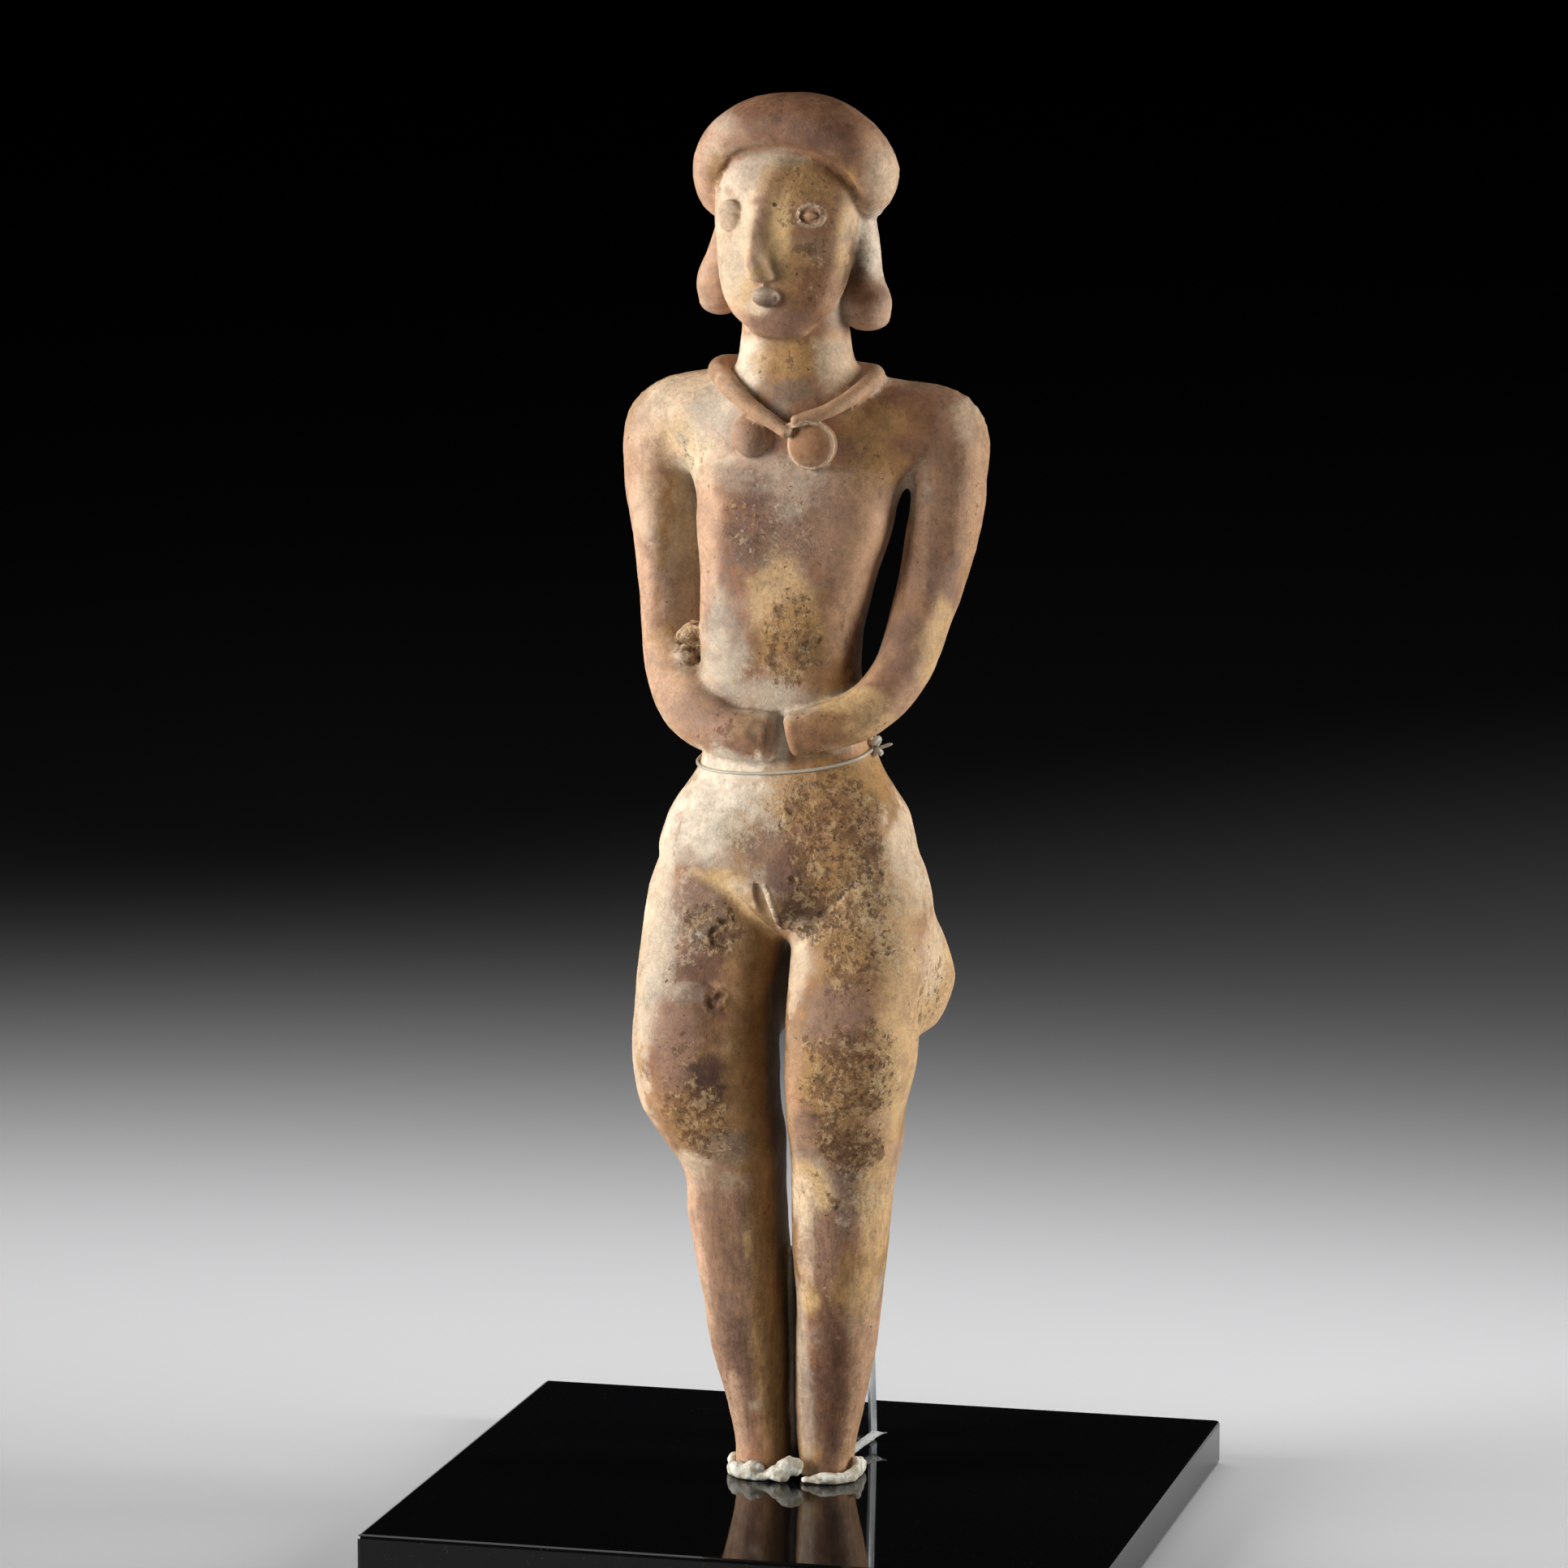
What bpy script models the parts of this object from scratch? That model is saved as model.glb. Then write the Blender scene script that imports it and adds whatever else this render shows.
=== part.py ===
"""A fired clay female figurine on its display stand.

The figurine is one solid. It stands on a black acrylic base, in front of a clear
acrylic upright, held by a nylon tie at the waist, a clear peg at the ankle and a
little putty round each foot.

Sizes are in millimetres and become metres when meshes are made. +Z is up, the base's
front edge faces -Y, and the origin is the middle of the base's underside. The figure
is described in its own frame: x towards its left hand, y towards its back, z up from
the soles.
"""

import math

import bmesh
import bpy
import numpy as np
from mathutils import Matrix, Vector
from mathutils.geometry import convex_hull_2d

MM = 0.001
GAP = 0.3  # clearance between pieces that touch

# ---- driving dimensions -------------------------------------------------------------

BASE_WIDTH = 152.4
BASE_DEPTH = 137.0
BASE_THICKNESS = 9.5
BASE_EDGE = 0.8

SOLE_HEIGHT = BASE_THICKNESS + GAP
FIGURE_PLACE = (-2.3, 2.5)  # middle of the feet on the base
FIGURE_TURN = math.radians(-3.0)
HEAD_TURN = math.radians(-4.0)  # the head looks a little to its right

UPRIGHT_WIDTH_LOW = 15.2
UPRIGHT_WIDTH_HIGH = 8.0
UPRIGHT_THICKNESS = 6.0
UPRIGHT_EDGE = 0.5
UPRIGHT_Y = 32.0
UPRIGHT_TOP = 168.0

TIE_RADIUS = 0.4
TIE_HEIGHT = 152.4  # above the soles, at the middle of the waist
TIE_SLOPE = 0.11  # it rises towards the figure's left
TIE_LEAN = 0.15  # and towards its back
TIE_STEP = 3.0

TIE_ENDS = [(4.0, -0.5, 1.0), (1.7, -1.4, -1.5)]  # the knot's two cut ends
KNOT = (1.3, 1.4, 1.7)  # half sizes

PEG_RADIUS = 0.85
PEG_FOOT = (7.2, 11.6, 0.9)  # behind the left ankle, just above the base
PEG_HEAD = (9.6, 25.6, 2.3)  # just in front of the upright
PEG_TIP = (12.2, 26.3, 2.7)  # its end, drawn out thin past the upright's edge
PEG_TIP_RADII = (0.6, 0.2)

UNDER_SIZE = (60.0, 50.0, 20.0)  # the block that cuts the soles flat
FOOT_ROWS = 4  # the lowest sections of each leg, which the putty stays clear of
PUTTY_GAP = 0.5

CLAY_VOXEL = 0.9
FORM_WIPES = 16
DETAIL_WIPES = 2
CLAY_TRIANGLES = 7400
RING_POINTS = 28
STRAND_POINTS = 14
LOFT_STEP = 2.0

CAP_ANGLES = [math.radians(angle) for angle in (25.0, 50.0, 72.0)]

SIDEWAYS = np.array((1.0, 0.0, 0.0))
BACKWARDS = np.array((0.0, 1.0, 0.0))
UPWARDS = np.array((0.0, 0.0, 1.0))

# ---- the figure's sections ----------------------------------------------------------
# Upright lofts: height, x, y, half width, half depth.

LEG_RIGHT = [
    (-4.0, -6.9, 0.0, 6.2, 7.0),
    (6.0, -7.0, 0.0, 6.2, 7.2),
    (14.0, -8.1, 0.0, 6.8, 7.8),
    (24.0, -9.2, -1.0, 8.2, 9.0),
    (38.0, -10.1, -2.5, 9.1, 10.5),
    (55.0, -11.7, -4.2, 10.0, 11.5),
    (66.0, -12.2, -5.5, 10.5, 12.0),
    (72.6, -13.9, -7.5, 12.9, 12.5),
    (79.4, -16.0, -9.0, 14.5, 13.2),
    (88.0, -16.8, -10.0, 15.2, 14.0),
    (100.0, -16.9, -8.8, 14.9, 14.4),
    (114.0, -15.8, -5.6, 15.5, 13.8),
    (126.0, -15.0, -4.6, 15.0, 13.6),
    (138.0, -12.4, -3.8, 12.0, 12.6),
]
LEG_LEFT = [
    (-4.0, 6.9, 0.0, 5.3, 6.2),
    (6.0, 6.8, 0.0, 6.1, 7.2),
    (14.0, 7.6, 0.0, 7.2, 7.8),
    (24.0, 8.9, -1.0, 8.1, 9.0),
    (38.0, 10.4, -2.5, 8.9, 10.3),
    (55.0, 11.3, -4.2, 10.1, 11.5),
    (66.0, 12.3, -5.5, 10.6, 12.0),
    (72.6, 13.2, -7.5, 11.6, 12.5),
    (79.4, 13.6, -9.0, 12.1, 13.2),
    (88.0, 14.9, -10.0, 13.3, 14.0),
    (100.0, 15.4, -8.8, 13.9, 14.4),
    (114.0, 16.0, -5.6, 14.6, 13.8),
    (126.0, 15.0, -4.6, 14.8, 13.6),
    (138.0, 12.0, -3.8, 11.6, 12.6),
]
TRUNK = [
    (118.5, 0.4, -4.6, 5.0, 8.5),
    (121.5, 0.4, -4.8, 9.0, 11.6),
    (126.0, 0.2, -4.6, 15.4, 13.6),
    (132.0, -1.1, -4.3, 24.2, 14.3),
    (138.0, -0.5, -4.3, 25.4, 14.1),
    (144.3, -0.2, -3.6, 22.4, 12.9),
    (151.0, -0.3, -3.0, 18.9, 12.0),
    (158.0, -1.0, -3.4, 17.6, 11.8),
    (171.0, -2.0, -4.4, 16.5, 12.0),
    (188.0, -1.0, -3.2, 18.3, 12.3),
    (201.6, 0.3, -1.4, 20.6, 12.5),
    (210.0, 0.4, -0.4, 20.4, 12.0),
]
BUTTOCK_RIGHT = [
    (92.0, -14.4, 4.5, 9.5, 8.0),
    (95.0, -14.8, 6.8, 12.6, 10.8),
    (99.0, -15.1, 7.8, 14.2, 12.6),
    (105.0, -15.2, 7.9, 14.6, 13.3),
    (112.0, -14.8, 7.0, 13.8, 12.9),
    (120.0, -14.0, 5.3, 13.0, 12.0),
    (130.0, -12.5, 3.2, 12.0, 10.9),
    (139.0, -11.0, 1.5, 10.5, 9.5),
]
BUTTOCK_LEFT = [
    (92.0, 14.5, 4.5, 9.6, 8.0),
    (95.5, 15.1, 6.8, 13.2, 10.8),
    (99.5, 15.7, 7.8, 14.6, 12.6),
    (105.0, 16.4, 7.9, 15.3, 13.3),
    (112.0, 15.9, 7.0, 14.3, 12.9),
    (120.0, 14.0, 5.3, 13.2, 12.0),
    (130.0, 12.5, 3.2, 12.0, 10.9),
    (139.0, 11.0, 1.5, 10.5, 9.5),
]
NECK = [
    (214.0, 0.0, 0.5, 17.0, 12.0),
    (223.0, 0.0, -0.8, 14.6, 11.8),
    (232.0, 0.3, -1.0, 12.5, 11.0),
    (240.0, 0.2, -1.6, 11.3, 10.2),
    (248.0, 0.0, -2.0, 11.2, 9.5),
]
HEAD = [
    (240.2, 0.4, -10.6, 6.2, 5.6),
    (243.0, 0.2, -9.4, 9.8, 7.9),
    (247.0, 0.0, -8.2, 12.3, 9.1),
    (252.0, 0.0, -7.2, 13.8, 9.9),
    (257.5, 0.0, -6.2, 14.7, 10.4),
    (264.0, 0.0, -4.9, 15.5, 10.7),
    (271.0, 0.0, -3.6, 15.0, 10.5),
    (277.0, 0.0, -2.6, 11.5, 9.0),
]
NAPE = [
    (246.0, 0.0, 3.2, 13.0, 5.0),
    (256.0, 0.0, 2.8, 15.0, 6.2),
    (268.0, 0.0, 2.0, 15.0, 6.8),
    (277.0, 0.0, 0.5, 11.0, 6.0),
]
FLAP_RIGHT = [
    (245.2, -17.0, 0.8, 4.6, 4.4),
    (248.6, -17.3, 0.8, 4.9, 4.7),
    (256.0, -15.9, 0.8, 3.7, 4.2),
    (264.0, -14.0, 0.5, 3.0, 3.8),
]
FLAP_LEFT = [
    (242.6, 15.2, 0.8, 5.0, 4.6),
    (245.6, 14.9, 0.8, 5.5, 4.8),
    (250.5, 14.5, 0.8, 4.2, 4.3),
    (255.0, 14.4, 0.8, 3.8, 4.2),
    (264.0, 14.3, 0.5, 3.2, 3.8),
    (268.0, 14.3, 0.5, 3.2, 3.8),
]
NOSE = [
    (251.4, -1.3, -17.3, 2.6, 2.6),
    (254.2, -1.6, -17.3, 3.1, 3.1),
    (258.5, -2.1, -15.9, 2.5, 3.0),
    (263.0, -2.3, -14.3, 2.3, 2.6),
    (267.5, -1.3, -12.8, 2.3, 2.2),
    (271.8, 0.9, -11.6, 2.4, 1.8),
]

# The calves are pressed together behind, which leaves a slot between them in front.
CALF_WEB = [
    (6.0, 0.0, 3.4, 2.2, 2.8),
    (30.0, 0.0, 3.0, 2.2, 3.4),
    (46.0, 0.0, 2.0, 1.6, 3.0),
]

# Limbs along a path: x, y, z, half size across the front, half size front to back.

ARM_RIGHT = [
    (-8.0, 3.0, 218.5, 10.5, 9.5),
    (-19.5, 4.0, 220.3, 10.4, 9.4),
    (-28.2, 5.5, 218.0, 10.0, 9.0),
    (-30.8, 6.0, 208.5, 8.0, 8.8),
    (-28.9, 4.5, 195.0, 7.2, 8.7),
    (-27.0, 2.0, 180.0, 7.0, 8.3),
    (-24.8, -2.5, 169.0, 6.8, 7.4),
    (-18.2, -10.2, 161.8, 7.1, 6.3),
    (-9.5, -15.0, 157.9, 6.0, 5.4),
    (-1.9, -16.0, 157.4, 5.7, 5.0),
]
ARM_LEFT = [
    (8.0, 3.0, 217.5, 9.6, 9.5),
    (21.0, 4.0, 219.2, 10.3, 9.4),
    (28.9, 5.5, 218.2, 9.7, 9.0),
    (30.8, 6.0, 208.5, 8.1, 8.8),
    (29.2, 4.5, 195.0, 7.3, 8.6),
    (26.6, 1.0, 182.0, 6.5, 8.0),
    (23.4, -5.0, 169.6, 5.9, 7.0),
    (17.6, -11.0, 162.6, 5.6, 6.0),
    (11.0, -14.6, 159.8, 5.3, 5.2),
    (5.6, -16.0, 158.4, 5.0, 4.8),
]
HEADBAND = [
    (-14.4, 0.0, 263.0, 2.8, 3.8),
    (-16.2, -0.8, 266.2, 4.1, 5.8),
    (-16.2, -1.8, 271.0, 5.2, 7.6),
    (-13.4, -3.0, 275.8, 6.5, 8.7),
    (-7.6, -3.8, 279.5, 7.2, 9.3),
    (0.0, -4.0, 280.6, 7.4, 9.5),
    (7.6, -3.8, 279.8, 7.5, 9.3),
    (13.8, -3.0, 276.1, 6.9, 8.7),
    (17.3, -1.8, 271.4, 5.6, 7.6),
    (17.0, -0.8, 266.8, 4.2, 5.8),
    (16.2, 0.0, 264.6, 3.0, 3.8),
]

NECKLACE = [
    (2.4, -15.4, 220.0, 1.6, 1.6),
    (-5.4, -14.0, 224.6, 1.8, 1.8),
    (-12.0, -8.8, 228.8, 2.0, 2.0),
    (-16.2, -0.8, 231.3, 2.1, 2.1),
    (-11.5, 8.5, 231.6, 2.0, 2.0),
    (0.0, 11.8, 231.2, 2.0, 2.0),
    (11.5, 8.0, 230.5, 2.0, 2.0),
    (16.9, -0.6, 230.0, 2.1, 2.1),
    (14.8, -8.2, 226.9, 1.7, 1.7),
    (10.4, -13.2, 224.0, 1.5, 1.5),
    (4.6, -15.6, 222.0, 1.4, 1.4),
]

# Strands of putty round the feet, from behind each foot to its front.

PUTTY_RIGHT = [
    (-7.6, 9.0, 0.8, 1.2, 1.3),
    (-12.4, 6.6, 0.9, 1.3, 1.4),
    (-14.4, 0.6, 1.2, 1.5, 1.9),
    (-13.4, -4.4, 1.4, 1.9, 2.2),
    (-10.8, -7.8, 1.1, 2.0, 1.7),
    (-7.4, -9.2, 1.3, 2.6, 2.1),
    (-3.8, -9.0, 1.0, 1.9, 1.5),
    (-0.6, -8.8, 1.8, 2.6, 2.4),
    (2.0, -6.8, 2.2, 1.6, 2.4),
]
PUTTY_LEFT = [
    (9.0, 8.2, 0.8, 1.1, 1.2),
    (12.6, 5.0, 0.9, 1.2, 1.4),
    (14.2, 0.4, 1.8, 1.3, 2.2),
    (13.9, -4.0, 1.2, 1.5, 1.7),
    (11.2, -7.2, 1.0, 1.5, 1.4),
    (6.8, -8.3, 0.7, 1.2, 1.0),
]

# Pellets and swellings: x, y, z, and the three half sizes.

CHEST = (0.5, 1.4, 217.0, 26.0, 12.4, 15.0)
BREAST_RIGHT = (-5.8, -12.0, 218.6, 4.2, 4.0, 4.4)
BREAST_LEFT = (7.2, -12.6, 217.0, 5.1, 3.3, 5.1)
EYE_RIGHT = (-8.9, -14.3, 263.2, 2.8, 1.6, 3.3)
EYE_LEFT = (8.6, -13.3, 263.5, 2.9, 1.6, 2.4)
MOUTH = (0.0, -17.5, 247.1, 3.3, 2.7, 2.3)
MOUND = (1.8, -10.6, 125.5, 10.0, 9.0, 9.5)


# ---- helpers ------------------------------------------------------------------------


def figure_matrix(turn=0.0):
    """The figure's frame in the base's frame; turn spins it first about its own axis."""
    place = Matrix.Translation((FIGURE_PLACE[0], FIGURE_PLACE[1], SOLE_HEIGHT))
    return place @ Matrix.Rotation(FIGURE_TURN + turn, 4, "Z")


def material(name, colour, roughness, metallic=0.0, transmission=0.0):
    """A Principled material with plain values."""
    made = bpy.data.materials.new(name)
    made.use_nodes = True
    shader = made.node_tree.nodes["Principled BSDF"]
    shader.inputs["Base Color"].default_value = (*colour, 1.0)
    shader.inputs["Roughness"].default_value = roughness
    shader.inputs["Metallic"].default_value = metallic
    shader.inputs["Transmission Weight"].default_value = transmission
    made.diffuse_color = (*colour, 1.0)
    return made


def collection(name):
    """A new collection in the scene."""
    made = bpy.data.collections.new(name)
    bpy.context.scene.collection.children.link(made)
    return made


def add_object(name, mesh, where, finish=None):
    """An object for a mesh, in a collection, with its material."""
    made = bpy.data.objects.new(name, mesh)
    where.objects.link(made)
    if finish is not None:
        mesh.materials.clear()
        mesh.materials.append(finish)
    return made


def hide_cutter(obj):
    """Marks an object as one that only shapes others."""
    obj.hide_render = True
    obj.display_type = "WIRE"


def mesh_of(obj):
    """The object's evaluated mesh, modifiers included, as a new mesh in world space."""
    graph = bpy.context.evaluated_depsgraph_get()
    made = bpy.data.meshes.new_from_object(obj.evaluated_get(graph))
    made.transform(obj.matrix_world)
    return made


def mesh_from(bm, name, matrix=None):
    """A bmesh in millimetres becomes a mesh in metres, with its faces pointing out."""
    bmesh.ops.recalc_face_normals(bm, faces=bm.faces)
    bmesh.ops.transform(bm, matrix=Matrix.Scale(MM, 4), verts=bm.verts)
    if matrix is not None:
        scaled = matrix.copy()
        scaled.translation *= MM
        bmesh.ops.transform(bm, matrix=scaled, verts=bm.verts)
    mesh = bpy.data.meshes.new(name)
    bm.to_mesh(mesh)
    bm.free()
    return mesh


def smooth_rows(rows, step):
    """Rows of numbers blended along a smooth curve, a step apart by their first three."""
    rows = np.array(rows, float)
    lengths = np.linalg.norm(np.diff(rows[:, :3], axis=0), axis=1)
    along = np.concatenate([[0.0], np.cumsum(lengths)])
    slopes = np.gradient(rows, along, axis=0)
    count = max(2, int(round(along[-1] / step)) + 1)
    wanted = np.linspace(0.0, along[-1], count)
    cell = np.clip(np.searchsorted(along, wanted, side="right") - 1, 0, len(rows) - 2)
    width = lengths[cell][:, None]
    t = (wanted - along[cell])[:, None] / width
    start, end = rows[cell], rows[cell + 1]
    return (
        start * (2 * t**3 - 3 * t**2 + 1)
        + slopes[cell] * width * (t**3 - 2 * t**2 + t)
        + end * (3 * t**2 - 2 * t**3)
        + slopes[cell + 1] * width * (t**3 - t**2)
    )


def superellipse(power, count):
    """Points round a unit superellipse; power 2 is a circle and more is squarer."""
    angles = np.arange(count) * 2 * math.pi / count
    cosines, sines = np.cos(angles), np.sin(angles)
    across = np.sign(cosines) * np.abs(cosines) ** (2 / power)
    deep = np.sign(sines) * np.abs(sines) ** (2 / power)
    return across, deep


def add_rings(bm, rings, ends):
    """Skins a row of point rings and closes it with a fan at each end point."""
    levels = [[bm.verts.new(point) for point in ring] for ring in rings]
    count = len(levels[0])
    for lower, upper in zip(levels, levels[1:]):
        for i in range(count):
            j = (i + 1) % count
            bm.faces.new((lower[i], lower[j], upper[j], upper[i]))
    for level, end in zip((levels[0], levels[-1]), ends):
        tip = bm.verts.new(end)
        for i in range(count):
            bm.faces.new((level[i], level[(i + 1) % count], tip))


def add_loft(bm, centres, sizes, axes, power, caps, count):
    """A closed loft through superelliptic sections, with rounded ends."""
    across_axes, deep_axes, forward = axes
    across, deep = superellipse(power, count)

    def ring(index, shift, scale):
        middle = centres[index] + shift
        wide = np.outer(across, across_axes[index]) * sizes[index][0] * scale
        thick = np.outer(deep, deep_axes[index]) * sizes[index][1] * scale
        return middle + wide + thick

    rings = [ring(i, 0.0, 1.0) for i in range(len(centres))]
    last = len(centres) - 1
    for angle in CAP_ANGLES:
        low = -forward[0] * caps[0] * math.sin(angle)
        high = forward[last] * caps[1] * math.sin(angle)
        rings.insert(0, ring(0, low, math.cos(angle)))
        rings.append(ring(last, high, math.cos(angle)))
    ends = (centres[0] - forward[0] * caps[0], centres[last] + forward[last] * caps[1])
    add_rings(bm, rings, ends)


def add_upright(bm, rows, power=2.0, caps=(3.0, 3.0), grow=0.0, step=LOFT_STEP):
    """A loft with level sections, from rows of height, x, y, half width, half depth."""
    swapped = [(x, y, z, wide, thick) for z, x, y, wide, thick in rows]
    rows = smooth_rows(swapped, step)
    axes = [np.tile(axis, (len(rows), 1)) for axis in (SIDEWAYS, BACKWARDS, UPWARDS)]
    add_loft(bm, rows[:, :3], rows[:, 3:5] + grow, axes, power, caps, RING_POINTS)


def add_limb(
    bm, rows, thick_axis, power=2.0, caps=(3.0, 3.0), step=LOFT_STEP, count=RING_POINTS
):
    """A loft square to its path, from rows of x, y, z and half sizes.

    The second half size is measured along thick_axis, which the path never follows.
    """
    rows = smooth_rows(rows, step)
    centres = rows[:, :3]
    forward = np.gradient(centres, axis=0)
    forward /= np.linalg.norm(forward, axis=1)[:, None]
    across = np.cross(forward, thick_axis)
    across /= np.linalg.norm(across, axis=1)[:, None]
    deep = np.cross(across, forward)
    axes = (across, deep, forward)
    add_loft(bm, centres, rows[:, 3:5], axes, power, caps, count)


def add_ball(bm, ball, segments=20, rings=12):
    """An ellipsoid from its middle and three half sizes."""
    middle, half = Vector(ball[:3]), ball[3:]
    made = bmesh.ops.create_uvsphere(
        bm, u_segments=segments, v_segments=rings, radius=1.0
    )
    place = Matrix.Translation(middle) @ Matrix.Diagonal((*half, 1.0))
    bmesh.ops.transform(bm, matrix=place, verts=made["verts"])


def tube_mesh(name, points, radius, sides, closed=False, matrix=None):
    """A round tube along points, made as a bevelled curve and turned into a mesh."""
    curve = bpy.data.curves.new(name, "CURVE")
    curve.dimensions = "3D"
    curve.bevel_depth = radius * MM
    curve.bevel_resolution = max(0, sides // 2 - 2)
    curve.use_fill_caps = not closed
    spline = curve.splines.new("POLY")
    spline.points.add(len(points) - 1)
    for spot, point in zip(spline.points, points):
        spot.co = (*(Vector(point) * MM), 1.0)
    spline.use_cyclic_u = closed
    guide = bpy.data.objects.new(name, curve)
    bpy.context.scene.collection.objects.link(guide)
    bpy.context.view_layer.update()
    mesh = mesh_of(guide)
    bpy.data.objects.remove(guide)
    bpy.data.curves.remove(curve)
    bm = bmesh.new()
    bm.from_mesh(mesh)
    bmesh.ops.remove_doubles(bm, verts=bm.verts, dist=1e-6)
    if matrix is not None:
        scaled = matrix.copy()
        scaled.translation *= MM
        bmesh.ops.transform(bm, matrix=scaled, verts=bm.verts)
    bmesh.ops.recalc_face_normals(bm, faces=bm.faces)
    bm.to_mesh(mesh)
    bm.free()
    return mesh


def add_boolean(obj, cutter, operation):
    """A Boolean modifier with the exact solver."""
    boolean = obj.modifiers.new(cutter.name, "BOOLEAN")
    boolean.operation = operation
    boolean.solver = "EXACT"
    boolean.object = cutter


def settle(obj):
    """Replaces the object's mesh by its evaluated one, so that its modifiers run once."""
    bpy.context.view_layer.update()
    mesh = mesh_of(obj)
    mesh.materials.clear()
    for slot in obj.data.materials:
        mesh.materials.append(slot)
    obj.modifiers.clear()
    obj.data = mesh
    obj.matrix_world = Matrix.Identity(4)


# ---- the figurine -------------------------------------------------------------------


def body_forms():
    """The body below the chin, as overlapping closed forms."""
    bm = bmesh.new()
    for leg in (LEG_RIGHT, LEG_LEFT):
        add_upright(bm, leg, power=2.15, caps=(1.0, 8.0))
    add_upright(bm, CALF_WEB, caps=(2.0, 2.0))
    add_upright(bm, TRUNK, power=2.8, caps=(5.0, 4.5))
    add_upright(bm, NECK, power=2.1)
    for buttock in (BUTTOCK_RIGHT, BUTTOCK_LEFT):
        add_upright(bm, buttock, caps=(2.5, 6.0))
    for arm in (ARM_RIGHT, ARM_LEFT):
        add_limb(bm, arm, BACKWARDS, power=2.2, caps=(3.0, 3.5))
    for ball in (CHEST, MOUND):
        add_ball(bm, ball, segments=32, rings=20)
    return bm


def head_forms():
    """The skull, face and hair."""
    bm = bmesh.new()
    add_upright(bm, HEAD, power=2.2, caps=(2.2, 4.0))
    add_upright(bm, NAPE, power=2.3, caps=(3.0, 4.0))
    for flap in (FLAP_RIGHT, FLAP_LEFT):
        add_upright(bm, flap, power=2.2, caps=(3.0, 2.0))
    return bm


def applied_to_body():
    """The necklace coil and the breasts, applied to the wiped body."""
    bm = bmesh.new()
    add_limb(bm, NECKLACE, UPWARDS, caps=(1.5, 1.5))
    for ball in (BREAST_RIGHT, BREAST_LEFT):
        add_ball(bm, ball)
    return bm


def applied_to_head():
    """The headband roll, the nose and the pellets of eyes and mouth."""
    bm = bmesh.new()
    add_limb(bm, HEADBAND, BACKWARDS, power=2.1, caps=(2.0, 2.0))
    add_upright(bm, NOSE, power=1.75, caps=(1.2, 2.0), step=1.0)
    for ball in (EYE_RIGHT, EYE_LEFT, MOUTH):
        add_ball(bm, ball)
    return bm


def welded(meshes, wipes):
    """Closed meshes welded into one skin, then wiped smooth a number of times."""
    bm = bmesh.new()
    for mesh in meshes:
        bm.from_mesh(mesh)
        bpy.data.meshes.remove(mesh)
    joined = bpy.data.meshes.new("clay")
    bm.to_mesh(joined)
    bm.free()
    obj = add_object("clay", joined, bpy.context.scene.collection)
    weld = obj.modifiers.new("weld", "REMESH")
    weld.mode = "VOXEL"
    weld.voxel_size = CLAY_VOXEL * MM
    wipe = obj.modifiers.new("wipe", "SMOOTH")
    wipe.factor = 0.5
    wipe.iterations = wipes
    bpy.context.view_layer.update()
    mesh = mesh_of(obj)
    bpy.data.objects.remove(obj)
    return mesh


def make_figurine(parts, cutters, clay):
    """The clay forms welded into one solid, with flat soles."""
    body = mesh_from(body_forms(), "body", figure_matrix())
    head = mesh_from(head_forms(), "head", figure_matrix(HEAD_TURN))
    rough = welded([body, head], wipes=FORM_WIPES)
    on_body = mesh_from(applied_to_body(), "applied", figure_matrix())
    on_head = mesh_from(applied_to_head(), "applied", figure_matrix(HEAD_TURN))
    mesh = welded([rough, on_body, on_head], wipes=DETAIL_WIPES)
    dense = 2 * len(mesh.polygons)
    figurine = add_object("pottery_figurine", mesh, parts, clay)
    thin = figurine.modifiers.new("fewer faces", "DECIMATE")
    thin.ratio = CLAY_TRIANGLES / dense
    thin.use_collapse_triangulate = True

    bm = bmesh.new()
    bmesh.ops.create_cube(bm, size=1.0)
    bmesh.ops.scale(bm, vec=UNDER_SIZE, verts=bm.verts)
    middle = SOLE_HEIGHT - UNDER_SIZE[2] / 2
    bmesh.ops.translate(bm, vec=(0.0, 0.0, middle), verts=bm.verts)
    under = add_object("under_soles", mesh_from(bm, "under_soles"), cutters)
    hide_cutter(under)
    add_boolean(figurine, under, "DIFFERENCE")
    settle(figurine)
    return figurine


# ---- the stand ----------------------------------------------------------------------


def make_base(parts, black):
    """The polished plate, its edges slightly eased."""
    bm = bmesh.new()
    bmesh.ops.create_cube(bm, size=1.0)
    bmesh.ops.scale(bm, vec=(BASE_WIDTH, BASE_DEPTH, BASE_THICKNESS), verts=bm.verts)
    bmesh.ops.translate(bm, vec=(0.0, 0.0, BASE_THICKNESS / 2), verts=bm.verts)
    base = add_object("stand_base", mesh_from(bm, "stand_base"), parts, black)
    ease = base.modifiers.new("eased edges", "BEVEL")
    ease.width = BASE_EDGE * MM
    ease.segments = 2
    return base


def upright_half_width(height):
    """Half the strip's width at a height above the base."""
    share = height / (UPRIGHT_TOP - SOLE_HEIGHT)
    return (UPRIGHT_WIDTH_LOW + (UPRIGHT_WIDTH_HIGH - UPRIGHT_WIDTH_LOW) * share) / 2


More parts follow.
